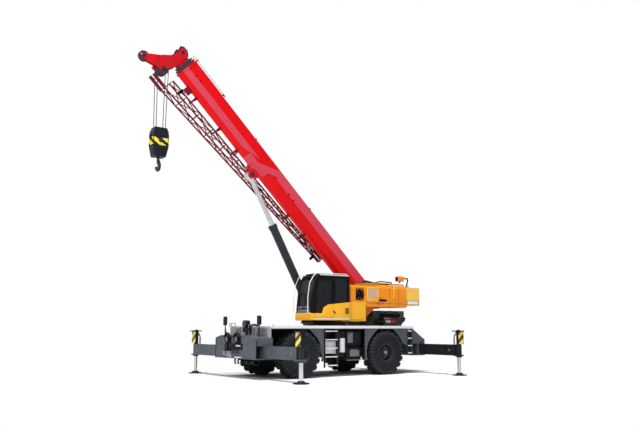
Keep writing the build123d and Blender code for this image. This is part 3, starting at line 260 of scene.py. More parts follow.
M = {
    "section": finish("section_red", (0.6, 0.006, 0.012), 0.38, vary=0.04, dust=0.02, spec=0.12,
                      second=(0.07, 0.04, 0.05), mask=section_end),
    "ladder": finish("ladder_white", (0.8, 0.8, 0.8), 0.45, vary=0.03, dust=0.04,
                     second=(0.03, 0.032, 0.036), mask=ladder_sides),
    "tow": finish("tow_iron", (0.007, 0.008, 0.01), 0.5, dust=0.05, second=(0.3, 0.31, 0.33), mask=hook_low),
    "table": finish("table_orange", (0.87, 0.28, 0.012), 0.4, vary=0.05, dust=0.04, spec=0.2,
                    second=(0.012, 0.012, 0.014), mask=table_low),
    "beam_grey": finish("beam_grey", (0.075, 0.085, 0.105), 0.5, dust=0.12, second=(0.007, 0.008, 0.012),
                        mask=leg_ends),
    "fascia": finish("fascia_pale", (0.36, 0.37, 0.39), 0.5, dust=0.06),
    "grey": finish("chassis_grey", (0.075, 0.085, 0.105), 0.5, dust=0.12),
    "grey_light": finish("panel_grey", (0.17, 0.18, 0.195), 0.5, dust=0.1),
    "black": finish("frame_black", (0.007, 0.008, 0.012), 0.5, dust=0.05, spec=0.1),
    "white": finish("edge_white", (0.8, 0.8, 0.8), 0.45, vary=0.03, dust=0.04),
    "deck": finish("deck_plate", (0.32, 0.33, 0.33), 0.5, dust=0.1),
    "iron": finish("axle_iron", (0.012, 0.012, 0.014), 0.7, dust=0.1, spec=0.1),
    "tyre": finish("tyre_rubber", (0.014, 0.015, 0.019), 0.75, dust=0.1, grain=140, rise=0.4, spec=0.14,
                   dust_color=(0.07, 0.07, 0.075)),
    # Paler rubber for the lug blocks and side rings: a painted highlight on the lug edges and ridges.
    "tyre_highlight": finish("tyre_highlight", (0.045, 0.047, 0.055), 0.75, dust=0.08, grain=140, rise=0.4, spec=0.12,
                        dust_color=(0.1, 0.1, 0.1)),
    "rim": finish("rim_grey", (0.03, 0.032, 0.038), 0.5, dust=0.08, spec=0.14),
    "chrome": finish("rod_chrome", (0.58, 0.59, 0.62), 0.2, metal=1.0, vary=0.12, dust=0.03, rise=0.02,
                     spec=0.5),
    "steel": finish("bare_steel", (0.3, 0.3, 0.31), 0.4, metal=0.9, vary=0.1, dust=0.06),
    "dark_steel": finish("dark_steel", (0.035, 0.037, 0.045), 0.42, metal=0.5, vary=0.1, dust=0.05),
    "rope": finish("rope_steel", (0.05, 0.05, 0.055), 0.5, metal=0.5, vary=0.15, dust=0.02, grain=200,
                   rise=0.6),
    "orange": finish("upper_orange", (0.87, 0.28, 0.012), 0.4, vary=0.05, dust=0.04, spec=0.2),
    "yellow": finish("cab_yellow", (0.92, 0.45, 0.025), 0.4, vary=0.05, dust=0.04, spec=0.2),
    "pale_yellow": finish("weight_yellow", (0.93, 0.54, 0.09), 0.4, vary=0.04, dust=0.04, spec=0.2),
    # The boom red's pale second colour is a painted highlight band.
    "red": finish("boom_red", (0.72, 0.003, 0.006), 0.38, vary=0.04, dust=0.01, spec=0.12,
                  second=(0.66, 0.06, 0.095),
                  mask=boom_highlight_band),
    "head_red": finish("head_red", (0.56, 0.006, 0.012), 0.42, vary=0.1, dust=0.03, spec=0.14),
    "maroon": finish("collar_maroon", (0.07, 0.04, 0.05), 0.5, vary=0.1, dust=0.03, spec=0.12),
    "red_dark": finish("jib_red", (0.19, 0.01, 0.03), 0.5, vary=0.15, dust=0.03, spec=0.12),
    "ram": finish("ram_slate", (0.022, 0.026, 0.036), 0.42, dust=0.03, spec=0.2),
    "cab_black": finish("cab_black", (0.004, 0.004, 0.005), 0.35, vary=0.05, dust=0.01, spec=0.07),
    "seat": finish("seat_fabric", (0.03, 0.03, 0.035), 0.9, dust=0.0, grain=220, rise=0.6),
    "plastic": finish("console_plastic", (0.012, 0.012, 0.014), 0.6, dust=0.02, grain=180, spec=0.12),
    "green": finish("ring_green", (0.78, 0.9, 0.5), 0.6, dust=0.08),
    "pink": finish("vent_pale", (0.75, 0.5, 0.42), 0.55, vary=0.05, dust=0.03),
    "silver": finish("tank_silver", (0.62, 0.63, 0.66), 0.4, metal=0.2, vary=0.06, dust=0.05),
    "lamp": finish("lamp_glass", (0.12, 0.13, 0.15), 0.1, metal=0.3, vary=0.03, dust=0.02, rise=0.02,
                   spec=0.5),
    "red_lamp": finish("lamp_red", (0.4, 0.01, 0.01), 0.3, vary=0.05, dust=0.02),
}


def glass(name, color, alpha):
    """Tinted window glass with faint smears."""
    mat, nt, bsdf, vec = tree(name)
    smear = noise(nt, vec, 4.0, 6.0, 0.7)
    nt.links.new(ramp(nt, smear, 0.35, 0.75, (*color, 1), (*(c * 1.6 for c in color), 1)),
                 bsdf.inputs["Base Color"])
    nt.links.new(ramp(nt, smear, 0.3, 0.8, (0.02, 0.02, 0.02, 1), (0.1, 0.1, 0.1, 1)),
                 bsdf.inputs["Roughness"])
    bsdf.inputs["Alpha"].default_value = alpha
    bsdf.inputs["IOR"].default_value = 1.5
    bsdf.inputs["Specular IOR Level"].default_value = 0.22
    bump(nt, bsdf, smear, 0.03)
    return mat


M["glass"] = glass("window_glass", (0.004, 0.005, 0.008), 0.82)
M["hazard"] = striped("hazard_bands", (0.6, -0.6, 0.75), 0.235, (0.9, 0.72, 0.06), (0.012, 0.012, 0.014))


def block_band(nt, vec):
    band = between(nt, linear(nt, vec, (0, 0, 1)), 7.84, 8.1)
    slant = linear(nt, vec, (-0.6, 0.6, 0.9))
    turn = math_node(nt, "FRACT", math_node(nt, "MULTIPLY", slant, 1 / 0.26))
    return math_node(nt, "MULTIPLY", band, math_node(nt, "GREATER_THAN", turn, 0.45))


M["block"] = finish("block_blue_black", (0.006, 0.008, 0.016), 0.45, dust=0.02, spec=0.14,
                    second=(0.88, 0.72, 0.05), mask=block_band)
print("finishes", len(M))

# %% [markdown]
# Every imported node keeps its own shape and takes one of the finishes.

# %% node finishes
NODE_FINISH = {
    "chassis": "black", "deck": "deck", "outrigger_boxes": "grey", "axles": "iron", "engine_hood": "grey",
        "engine": "iron",
    "silencer": "dark_steel", "lockers": "black", "fenders": "grey", "ladders": "ladder", "fascia": "fascia",
    "headlights": "black", "mirrors": "black", "tow_hook": "tow", "slew_table": "table",
        "side_hoods": "orange",
    "side_box": "yellow", "counterweight": "pale_yellow", "cab_shell": "cab_black", "cab_glass": "glass",
        "door": "cab_black",
    "door_glass": "glass", "seat": "seat", "console": "plastic", "winch_main": "dark_steel",
        "winch_aux": "dark_steel",
    "boom_base": "red", "boom_second": "section", "boom_third": "section", "boom_tip": "head_red",
        "head_sheaves": "maroon",
    "jib": "red_dark", "ram_rod": "chrome", "ram_barrel": "ram", "hoist_ropes": "rope",
        "hook_block": "block", "hook": "dark_steel",
}
for end in ("fl", "fr", "rl", "rr"):
    NODE_FINISH["beam_" + end] = "beam_grey" if end[0] == "f" else "black"
    NODE_FINISH["leg_" + end] = "chrome"
    NODE_FINISH["knuckle_" + end] = "iron"
    NODE_FINISH["rim_" + end] = "rim"
    NODE_FINISH["tyre_" + end] = "tyre"
for name, node in nodes.items():
    for i in range(len(node.material_slots)):
        node.material_slots[i].material = M[NODE_FINISH[name]]
print("nodes finished", len(nodes))

# %% [markdown]
# Light, floor and camera: a white studio with a large soft key from the camera's left, and a
# white sweep of floor that keeps the machine's shadow.

# %% studio
world = bpy.data.worlds.new("studio")
bpy.context.scene.world = world
world.use_nodes = True
wt = world.node_tree
wt.nodes.clear()
w_out = wt.nodes.new("ShaderNodeOutputWorld")
w_seen = wt.nodes.new("ShaderNodeBackground")
w_seen.inputs["Color"].default_value = (1, 1, 1, 1)
w_seen.inputs["Strength"].default_value = 1.0
w_lit = wt.nodes.new("ShaderNodeBackground")
w_lit.inputs["Color"].default_value = (0.93, 0.96, 1.0, 1)
w_lit.inputs["Strength"].default_value = 0.21
path = wt.nodes.new("ShaderNodeLightPath")
w_mix = wt.nodes.new("ShaderNodeMixShader")
w_any = wt.nodes.new("ShaderNodeMath")
w_any.operation = "MAXIMUM"
w_any2 = wt.nodes.new("ShaderNodeMath")
w_any2.operation = "MAXIMUM"
wt.links.new(path.outputs["Is Camera Ray"], w_any.inputs[0])
wt.links.new(path.outputs["Is Transmission Ray"], w_any.inputs[1])
wt.links.new(w_any.outputs[0], w_any2.inputs[0])
wt.links.new(path.outputs["Is Glossy Ray"], w_any2.inputs[1])
wt.links.new(w_any2.outputs[0], w_mix.inputs["Fac"])
wt.links.new(w_lit.outputs[0], w_mix.inputs[1])
wt.links.new(w_seen.outputs[0], w_mix.inputs[2])
wt.links.new(w_mix.outputs[0], w_out.inputs["Surface"])

bm = bmesh.new()
bmesh.ops.create_grid(bm, x_segments=2, y_segments=2, size=150)
mesh = bpy.data.meshes.new("floor")
bm.to_mesh(mesh)
bm.free()
floor = bpy.data.objects.new("floor", mesh)
bpy.context.scene.collection.objects.link(floor)
mat, nt, bsdf, vec = tree("floor_white")
nt.links.new(ramp(nt, noise(nt, vec, 0.4), 0.3, 0.7, (0.93, 0.93, 0.93, 1), (0.95, 0.95, 0.95, 1)),
             bsdf.inputs["Base Color"])
bsdf.inputs["Roughness"].default_value = 1.0
bsdf.inputs["Specular IOR Level"].default_value = 0.0
glow = nt.nodes.new("ShaderNodeEmission")
reach = nt.nodes.new("ShaderNodeVectorMath")
reach.operation = "LENGTH"
nt.links.new(vec, reach.inputs[0])
far = nt.nodes.new("ShaderNodeMapRange")
far.interpolation_type = "SMOOTHSTEP"
far.inputs["From Min"].default_value = 7.0
far.inputs["From Max"].default_value = 12.0
nt.links.new(reach.outputs["Value"], far.inputs["Value"])
blend = nt.nodes.new("ShaderNodeMixShader")
out = [n for n in nt.nodes if n.type == "OUTPUT_MATERIAL"][0]
nt.links.new(far.outputs[0], blend.inputs[0])
nt.links.new(bsdf.outputs[0], blend.inputs[1])
nt.links.new(glow.outputs[0], blend.inputs[2])
nt.links.new(blend.outputs[0], out.inputs[0])
floor.data.materials.append(mat)


def area(name, place, aim, size, power, color=(1, 1, 1)):
    light = bpy.data.lights.new(name, "AREA")
    light.shape = "DISK"
    light.size = size
    light.energy = power
    light.color = color
    obj = bpy.data.objects.new(name, light)
    obj.location = place
    obj.rotation_euler = (Vector(aim) - Vector(place)).to_track_quat("-Z", "Y").to_euler()
    bpy.context.scene.collection.objects.link(obj)
    return obj


sun_data = bpy.data.lights.new("overhead", "SUN")
sun_data.energy = 3.0
sun_data.angle = math.radians(16)
sun = bpy.data.objects.new("overhead", sun_data)
sun.rotation_euler = (-Vector((0.28, 0.18, 1.0))).to_track_quat("-Z", "Y").to_euler()
bpy.context.scene.collection.objects.link(sun)
area("key", (16, 14, 12), (0, 0, 4), 9, 1900)

EYE = Vector((15.905, 22.045, 1.720))
HEADING, RISE = math.radians(234.524), math.radians(9.304)
look = Vector((math.cos(HEADING) * math.cos(RISE), math.sin(HEADING) * math.cos(RISE), math.sin(RISE)))
cam_data = bpy.data.cameras.new("camera")
cam_data.sensor_width = 36.0
cam_data.lens = 36.0 * 700.75 / 640.0
cam_data.clip_end = 500
cam = bpy.data.objects.new("camera", cam_data)
cam.location = EYE
cam.rotation_euler = look.to_track_quat("-Z", "Y").to_euler()
bpy.context.scene.collection.objects.link(cam)
bpy.context.scene.camera = cam
bpy.context.scene.view_settings.view_transform = "Standard"
print("studio ready")

# %% [markdown]
# Small parts are boxes, rods and turned rings made by mesh operators. Several of one kind on one
# body go into one piece, and edges that catch light are bevelled.

# %% shape helpers


def box_in(bm, lo, hi, turn=None):
    """A box between two corners, turned about its middle if asked."""
    lo, hi = Vector(lo), Vector(hi)
    size = Vector(abs(a) for a in (hi - lo))
    m = Matrix.Translation((lo + hi) / 2) @ (turn.to_4x4() if turn else Matrix()) @ Matrix.Diagonal((*size,
        1))
    return bmesh.ops.create_cube(bm, size=1, matrix=m)["verts"]


def rod_in(bm, a, b, r, sides=16, r2=None):
    """A round rod or cone from a to b."""
    a, b = Vector(a), Vector(b)
    m = Matrix.Translation((a + b) / 2) @ (b - a).to_track_quat("Z", "Y").to_matrix().to_4x4()
    return bmesh.ops.create_cone(bm, cap_ends=True, segments=sides, radius1=r,
                                 radius2=r if r2 is None else r2, depth=(b - a).length, matrix=m)["verts"]


def ring_in(bm, mid, axis, radius, thick, sides=40, round_sides=8):
    """A round ring about an axis, spun from a small circle."""
    axis = Vector(axis).normalized()
    out = axis.orthogonal().normalized()
    start = Vector(mid) + out * radius
    m = Matrix.Translation(start) @ (axis.cross(out)).to_track_quat("Z", "Y").to_matrix().to_4x4()
    made = bmesh.ops.create_circle(bm, cap_ends=False, segments=round_sides, radius=thick, matrix=m)
    edges = list({e for v in made["verts"] for e in v.link_edges})
    bmesh.ops.spin(bm, geom=edges, cent=mid, axis=axis, angle=2 * math.pi, steps=sides, use_merge=True,
                   use_duplicate=False)


def pipe_in(bm, points, r, sides=10):
    """Rods through points with a ball at each bend."""
    for a, b in zip(points, points[1:]):
        rod_in(bm, a, b, r, sides)
    for p in points[1:-1]:
        bmesh.ops.create_icosphere(bm, subdivisions=2, radius=r, matrix=Matrix.Translation(Vector(p)))


def plate_in(bm, outline, thick, place):
    """A flat outline given as (u, v) points, put in space by place(u, v, depth) and given thickness."""
    verts = [bm.verts.new(place(u, v, 0.0)) for u, v in outline]
    face = bm.faces.new(verts)
    made = bmesh.ops.extrude_face_region(bm, geom=[face])
    moved = [v for v in made["geom"] if isinstance(v, bmesh.types.BMVert)]
    step = place(0, 0, thick) - place(0, 0, 0)
    bmesh.ops.translate(bm, verts=moved, vec=step)
    return verts + moved


def piece(name, body, mat, build, bevel=0.0, segments=2, smooth=35):
    """Builds one piece, gives it its finish and lets it ride on its body."""
    bm = bmesh.new()
    build(bm)
    if bevel:
        sharp = [e for e in bm.edges if len(e.link_faces) == 2 and e.calc_face_angle(0) > 0.6]
        bmesh.ops.bevel(bm, geom=sharp, offset=bevel, offset_type="OFFSET", segments=segments, profile=0.5,
                        affect="EDGES",
                        clamp_overlap=True, material=-1)
    bmesh.ops.recalc_face_normals(bm, faces=bm.faces)
    mesh = bpy.data.meshes.new(name)
    bm.to_mesh(mesh)
    bm.free()
    for p in mesh.polygons:
        p.use_smooth = True
    mesh.set_sharp_from_angle(angle=math.radians(smooth))
    obj = bpy.data.objects.new(name, mesh)
    bpy.context.scene.collection.objects.link(obj)
    obj.data.materials.append(M[mat])
    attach(obj, body)
    return obj


print("helpers ready")

# %% [markdown]
# Wheels: wheel nuts and hub bolts, a rolled rim lip, raised rings on the tyre's side and blocks that
# carry each lug down over the shoulder. They are pressed, turned and moulded parts, so rings are spun.

# %% wheel details
HUB_Z = 0.815
FRONT_AXLE, REAR_AXLE = 2.08, -1.82
WHEELS = {"fl": (FRONT_AXLE, 1), "fr": (FRONT_AXLE, -1), "rl": (REAR_AXLE, 1), "rr": (REAR_AXLE, -1)}
for end, (wx, side) in WHEELS.items():
    wheel = "wheel_" + end

    def around(radius, turn, y):
        return Vector((wx + radius * math.cos(turn), side * (1.265 + y), HUB_Z + radius * math.sin(turn)))

    def nuts(bm):
        for i in range(20):
            t = i * math.tau / 20
            rod_in(bm, around(0.232, t, 0.02), around(0.232, t, 0.048), 0.017, 6)
        for i in range(12):
            t = (i + 0.5) * math.tau / 12
            rod_in(bm, around(0.142, t, 0.148), around(0.142, t, 0.166), 0.011, 6)
        rod_in(bm, around(0, 0, 0.198), around(0, 0, 0.212), 0.06, 24, 0.05)

    def lips(bm):
        ring_in(bm, around(0, 0, 0.238), (0, 1, 0), 0.327, 0.014, 48)
        ring_in(bm, around(0, 0, 0.16), (0, 1, 0), 0.303, 0.01, 48)
        ring_in(bm, around(0, 0, 0.15), (0, 1, 0), 0.172, 0.008, 36)

    def side_rings(bm):
        for radius, y in ((0.40, 0.266), (0.47, 0.273), (0.56, 0.285), (0.635, 0.292)):
            ring_in(bm, around(0, 0, y), (0, 1, 0), radius, 0.006, 56, 6)

    def side_blocks(bm):
        for i in range(36):
            for face in (1, -1):
                t = (i + 0.25) * math.tau / 36
                turn = Matrix.Rotation(-t, 3, "Y")
                for radius, y, high, deep in ((0.712, 0.281, 0.028, 0.011), (0.765, 0.246, 0.032, 0.02)):
                    mid = Vector((wx + radius * math.cos(t), side * 1.265 + side * face * y,
                                  HUB_Z + radius * math.sin(t)))
                    box_in(bm, mid - Vector((high, deep, 0.032)), mid + Vector((high, deep, 0.032)), turn)

    def pale_rings(bm):
        ring_in(bm, around(0, 0, 0.258), (0, 1, 0), 0.362, 0.012, 56)
        ring_in(bm, around(0, 0, 0.283), (0, 1, 0), 0.6, 0.008, 64, 6)

    piece("wheel_nuts_" + end, wheel, "steel", nuts)
    piece("rim_lips_" + end, wheel, "rim", lips)
    piece("tyre_side_" + end, wheel, "tyre", side_rings)
    # The lug blocks and pale rings take the paler rubber, a painted highlight.
    piece("tyre_blocks_" + end, wheel, "tyre_highlight", side_blocks)
    piece("pale_rings_" + end, wheel, "tyre_highlight", pale_rings)
print("wheel details", len(WHEELS))

# %% [markdown]
# Outriggers: banded warning plates with a bent bracket, hoses, a gland on each leg and bolts on the
# float. The plates are sheet metal with tape, so the bands are in the finish.

# %% outrigger details
LEG_Y = 3.45
BEAMS = {"fl": (3.38, 1, 1), "fr": (3.68, 1, -1), "rl": (-3.68, -1, 1), "rr": (-3.38, -1, -1)}
for end, (bx, front, side) in BEAMS.items():
    lo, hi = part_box("beam_" + end)
    leg_y = side * LEG_Y
    bottom, top = 0.72, 1.12
    arm = "outrigger_" + end

    def plates(bm):
        for x in (bx + front * 0.0985, bx + front * 0.1175):
            box_in(bm, (x - 0.003, leg_y - 0.143, 1.155), (x + 0.003, leg_y + 0.143, 1.597))
        if front < 0:
            box_in(bm, (bx - 0.13, leg_y + side * 0.1 - 0.004, 1.155),
                   (bx + 0.1, leg_y + side * 0.1 + 0.004, 1.597))

    def brackets(bm):
        y0, y1 = sorted((leg_y - side * 0.13, leg_y + side * 0.15))
        box_in(bm, (bx - 0.16, y0, 1.6), (bx + 0.2, y1, 1.64))
        if front > 0:
            box_in(bm, (bx - 0.09, leg_y + side * 0.1 - 0.004, 1.155),
                   (bx + 0.09, leg_y + side * 0.1 + 0.004, 1.597))
        rod_in(bm, (bx, leg_y, 1.62), (bx, leg_y, 1.67), 0.06, 20)
        box_in(bm, (bx - 0.03, leg_y + side * 0.08, 1.3), (bx + 0.03, leg_y + side * 0.098, 1.36))
        pipe_in(bm, [(bx - front * 0.08, leg_y - side * 0.125, 1.1),
                     (bx - front * 0.09, leg_y - side * 0.125, 1.45),
                         (bx - front * 0.02, leg_y - side * 0.09, 1.6)], 0.014)
        pipe_in(bm, [(bx - front * 0.13, leg_y - side * 0.12, 1.1),
                     (bx - front * 0.12, leg_y - side * 0.12, 1.38),
                         (bx + front * 0.02, leg_y - side * 0.08, 1.56)], 0.012)

    def collars(bm):
        ring_in(bm, (bx, leg_y, 0.668), (0, 0, 1), 0.088, 0.014, 32)
        box_in(bm, (bx - 0.139, side * 3.34, bottom - 0.004), (bx + 0.139, side * 3.38, top + 0.004))
        box_in(bm, (bx - 0.145, leg_y - side * 0.14, bottom - 0.02),
               (bx + 0.145, leg_y + side * 0.105, bottom + 0.03))

    def beam_discs(bm):
        for y in (3.08, 2.7):
            for dx in (0.135, -0.135):
                rod_in(bm, (bx + dx, side * y, 0.92), (bx + dx * 1.028, side * y, 0.92),
                       0.05 if y > 3 else 0.025, 24)

    def float_bolts(bm):
        for i in range(6):
            t = i * math.tau / 6
            rod_in(bm, (bx + 0.21 * math.cos(t), leg_y + 0.21 * math.sin(t), 0.02),
                   (bx + 0.21 * math.cos(t), leg_y + 0.21 * math.sin(t), 0.046), 0.016, 6)
        ring_in(bm, (bx, leg_y, 0.027), (0, 0, 1), 0.25, 0.006, 40)
        rod_in(bm, (bx, leg_y, 0.001), (bx, leg_y, 0.0275), 0.262, 48)
        rod_in(bm, (bx, leg_y, 0.027), (bx, leg_y, 0.1), 0.165, 32, 0.1)

    piece("warning_plates_" + end, arm, "hazard", plates)
    piece("plate_brackets_" + end, arm, "black", brackets)
    piece("beam_fittings_" + end, arm, "grey" if front > 0 else "black", collars, 0.004, 1)
    piece("beam_discs_" + end, arm, "grey_light" if front > 0 else "grey", beam_discs)
    piece("float_fittings_" + end, "foot_" + end, "black", float_bolts)
print("outriggers", len(BEAMS))

# %% [markdown]
# Carrier: a white edge right round the deck, tread-plate ribs, hoses at the front, lamp lenses,
# boxes behind the ladder and the round work lamp. All are sheet metal, tube or turned parts.

# %% deck and front details


def deck_edges(bm):
    for side in (1, -1):
        y0, y1 = sorted((side * 1.4795, side * 1.487))
        box_in(bm, (-3.25, y0, 1.722), (3.25, y1, 1.812))
        box_in(bm, (3.19, min(side * 1.45, side * 1.487), 1.776),
               (3.235, max(side * 1.45, side * 1.487), 1.88))
    box_in(bm, (3.2495, -1.487, 1.722), (3.257, 1.487, 1.79))
    box_in(bm, (-3.257, -1.487, 1.722), (-3.2495, 1.487, 1.812))


def ring_gear(bm):
    rod_in(bm, (0, 0, 1.771), (0, 0, 1.868), 0.74, 64)
    for i in range(72):
        t = i * math.tau / 72
        turn = Matrix.Rotation(t, 3, "Z")
        mid = Vector((0.755 * math.cos(t), 0.755 * math.sin(t), 1.83))
        box_in(bm, mid - Vector((0.03, 0.018, 0.03)), mid + Vector((0.03, 0.018, 0.03)), turn)


LAMP_YS, LAMP_Z = (-0.43, 0.26), 1.34


def lamp_lenses(bm):
    for y in LAMP_YS:
        rod_in(bm, (3.951, y, LAMP_Z), (3.962, y, LAMP_Z), 0.098, 32)


def lamp_hoods(bm):
    for y in LAMP_YS:
        ring_in(bm, (3.968, y, LAMP_Z), (1, 0, 0), 0.108, 0.012, 36)
        for s in (1, -1):
            turn = Matrix.Rotation(-s * math.radians(38), 3, "X")
            mid = Vector((3.93, y + s * 0.1, LAMP_Z + 0.155))
            box_in(bm, mid - Vector((0.06, 0.125, 0.012)), mid + Vector((0.06, 0.125, 0.012)), turn)
            turn = Matrix.Rotation(s * math.radians(38), 3, "X")
            mid = Vector((3.92, y + s * 0.11, LAMP_Z - 0.1))
            box_in(bm, mid - Vector((0.03, 0.1, 0.01)), mid + Vector((0.03, 0.1, 0.01)), turn)


def front_recess(bm):
    box_in(bm, (3.861, -0.24, 0.98), (3.867, 0.58, 1.2))
    box_in(bm, (3.861, -0.62, 0.98), (3.93, -0.42, 1.17))
    box_in(bm, (3.861, -1.452, 0.69), (3.866, -1.40, 1.35))
    box_in(bm, (3.82, 1.456, 0.7), (3.85, 1.462, 1.3))


def front_panels(bm):
    box_in(bm, (3.861, 0.62, 1.17), (3.868, 0.98, 1.38))
    box_in(bm, (3.861, -1.36, 0.74), (3.866, -0.72, 1.34))
    box_in(bm, (3.861, 0.64, 0.74), (3.866, 1.4, 1.1))


def plug_plates(bm):
    box_in(bm, (3.868, 0.14, 1.1), (3.9, 0.42, 1.145))
    box_in(bm, (3.862, 0.12, 0.715), (3.93, 0.5, 0.745))


def front_winch(bm):
    for y in (0.14, 0.56, 0.98):
        rod_in(bm, (3.56, y - 0.02, 0.58), (3.56, y + 0.02, 0.58), 0.12, 28)
    rod_in(bm, (3.56, 0.12, 0.58), (3.56, 1.0, 0.58), 0.075, 24)
    for y in (0.16, 0.96):
        box_in(bm, (3.48, y - 0.03, 0.6), (3.64, y + 0.03, 0.7))
    pipe_in(bm, [(3.8, -0.05, 0.69), (3.84, 0.0, 0.6), (3.84, 0.05, 0.5)], 0.03)
    pipe_in(bm, [(3.8, 0.2, 0.69), (3.84, 0.22, 0.6), (3.84, 0.26, 0.5)], 0.03)


def front_hoses(bm):
    for k in range(4):
        y = -0.3 + k * 0.17
        pipe_in(bm, [(3.87, y, 1.16), (3.9, y + 0.03, 1.06), (3.91, y + 0.08, 0.95), (3.89, y + 0.1, 0.85)],
                0.014)
    for y in (0.55, 0.62, 0.72):
        pipe_in(bm, [(3.3, y, 1.79), (3.45, y - 0.05, 1.86), (3.6, y - 0.12, 1.72), (3.62, y - 0.14, 1.48)],
                0.018)


def front_frames(bm):
    for y in (-0.62, -0.3, 0.35, 0.66):
        box_in(bm, (3.262, y - 0.02, 1.481), (3.30, y + 0.02, 1.76))
    pipe_in(bm, [(3.6, 0.5, 1.47), (3.6, 0.5, 1.84), (3.6, 0.76, 1.84), (3.6, 0.76, 1.47)], 0.014)
    pipe_in(bm, [(3.3, -1.44, 1.77), (3.3, -1.44, 1.9), (3.3, -1.0, 1.9), (3.3, -1.0, 1.77)], 0.012)
    box_in(bm, (3.271, -1.0, 1.5), (3.285, -0.66, 1.72))
    box_in(bm, (3.271, 0.72, 1.5), (3.285, 1.2, 1.72))


def drum(bm):
    rod_in(bm, (3.36, 0.08, 1.87), (3.54, 0.08, 1.87), 0.13, 36)
    ring_in(bm, (3.54, 0.08, 1.87), (1, 0, 0), 0.125, 0.012, 36)
    rod_in(bm, (3.43, 0.08, 1.481), (3.43, 0.08, 1.75), 0.05, 16)
    box_in(bm, (3.35, -0.1, 1.58), (3.5, 0.3, 1.74))


def drum_face(bm):
    rod_in(bm, (3.54, 0.08, 1.87), (3.545, 0.08, 1.87), 0.118, 36)
    for r in (0.03, 0.06, 0.09):
        ring_in(bm, (3.547, 0.08, 1.87), (1, 0, 0), r, 0.006, 30, 6)


def mirror_faces(bm):
    for s in (1, -1):
        box_in(bm, (3.563, s * 1.22 - 0.08, 1.86), (3.5695, s * 1.22 + 0.08, 2.12))


piece("deck_edges", "carrier", "white", deck_edges, 0.002, 1)
piece("ring_gear", "carrier", "green", ring_gear)
piece("lamp_lenses", "carrier", "lamp", lamp_lenses)
piece("lamp_hoods", "carrier", "black", lamp_hoods)
piece("front_recess", "carrier", "black", front_recess)
piece("front_panels", "carrier", "grey", front_panels, 0.003, 1)
piece("front_winch", "carrier", "black", front_winch)
piece("plug_plates", "carrier", "white", plug_plates)
piece("front_hoses", "carrier", "plastic", front_hoses)
piece("front_frames", "carrier", "grey_light", front_frames, 0.004, 1)
piece("drum", "carrier", "black", drum)
piece("drum_face", "carrier", "grey", drum_face)
piece("mirror_faces", "carrier", "lamp", mirror_faces)

# %% [markdown]
# Deck top and boxes: ribs and hatches on the deck, door lines, handles and hinges on the lockers, and
# louvres on the engine hood. The banded end of the silencer is paint.

# %% carrier boxes


def deck_ribs(bm):
    for i in range(22):
        x = 0.95 + i * 0.1
        box_in(bm, (x, -1.4, 1.7705), (x + 0.02, 1.4, 1.775))
    for y in (1.0, -1.0):
        for i in range(24):
            x = -1.55 + i * 0.1
            box_in(bm, (x, y - 0.09 * 4, 1.7705), (x + 0.02, y + 0.09 * 4, 1.775))


def locker_trim(bm):
    for x0, x1, z1, s in ((-0.76, -0.06, 1.04, 1), (-0.76, -0.06, 1.64, 1), (-0.76, 1.0, 1.30, -1)):
        for x in (x0 + 0.14, x1 - 0.14):
            y0, y1 = sorted((s * 1.303, s * 1.325))
            box_in(bm, (x - 0.04, y0, z1 - 0.13), (x + 0.04, y1, z1 - 0.09))


def locker_panels(bm):
    box_in(bm, (-0.36, 1.305, 1.2), (-0.12, 1.314, 1.57))
    box_in(bm, (-0.66, 1.305, 0.7), (-0.22, 1.314, 0.95))
    box_in(bm, (-0.74, 1.29, 0.56), (-0.06, 1.42, 0.585))


def silver_tank(bm):
    box_in(bm, (0.42, 0.98, 0.82), (0.92, 1.3, 1.26))
    for x in (0.48, 0.86):
        box_in(bm, (x - 0.02, 0.975, 0.81), (x + 0.02, 1.308, 1.27))
    rod_in(bm, (0.2, 1.4, 0.86), (0.2, 1.4, 1.36), 0.1, 28)
    ring_in(bm, (0.2, 1.4, 0.92), (0, 0, 1), 0.1, 0.008)
    ring_in(bm, (0.2, 1.4, 1.3), (0, 0, 1), 0.1, 0.008)


def tank_hangers(bm):
    box_in(bm, (0.44, 0.6, 1.24), (0.9, 1.02, 1.69))
    box_in(bm, (0.12, 1.29, 0.9), (0.28, 1.31, 1.34))
    for x in (0.43, 0.9):
        box_in(bm, (x - 0.015, 1.25, 1.26), (x + 0.015, 1.3, 1.7))


def hood_trim(bm):
    for i in range(6):
        x = -3.56 + i * 0.15
        for z in (2.12, 2.17, 2.22, 2.27):
            box_in(bm, (x, 0.225, z), (x + 0.08, 0.258, z + 0.012))
            box_in(bm, (x, -0.908, z), (x + 0.08, -0.875, z + 0.012))
    tilt = Matrix.Rotation(math.radians(9.2), 3, "Y")
    box_in(bm, (-2.24, -0.85, 1.995), (-2.2, 0.2, 2.4), tilt)
    box_in(bm, (-2.0, -0.8, 1.93), (-1.75, 0.15, 1.945), Matrix.Rotation(math.radians(11.7), 3, "Y"))
    for x in (-2.6, -3.2):
        box_in(bm, (x - 0.008, -0.905, 2.0), (x + 0.008, 0.255, 2.428))
    for x, y in ((-2.45, 0.26), (-2.85, 0.26), (-3.45, 0.26), (-2.45, -0.91), (-3.45, -0.91)):
        box_in(bm, (x - 0.05, y - 0.008, 2.34), (x + 0.05, y + 0.008, 2.37))


SIL_Y, SIL_Z = 0.44, 1.985


def silencer_bands(bm):
    rod_in(bm, (-2.86, SIL_Y, SIL_Z), (-2.57, SIL_Y, SIL_Z), 0.1525, 36)


def silencer_red(bm):
    rod_in(bm, (-3.12, SIL_Y, SIL_Z), (-2.862, SIL_Y, SIL_Z), 0.1525, 36)


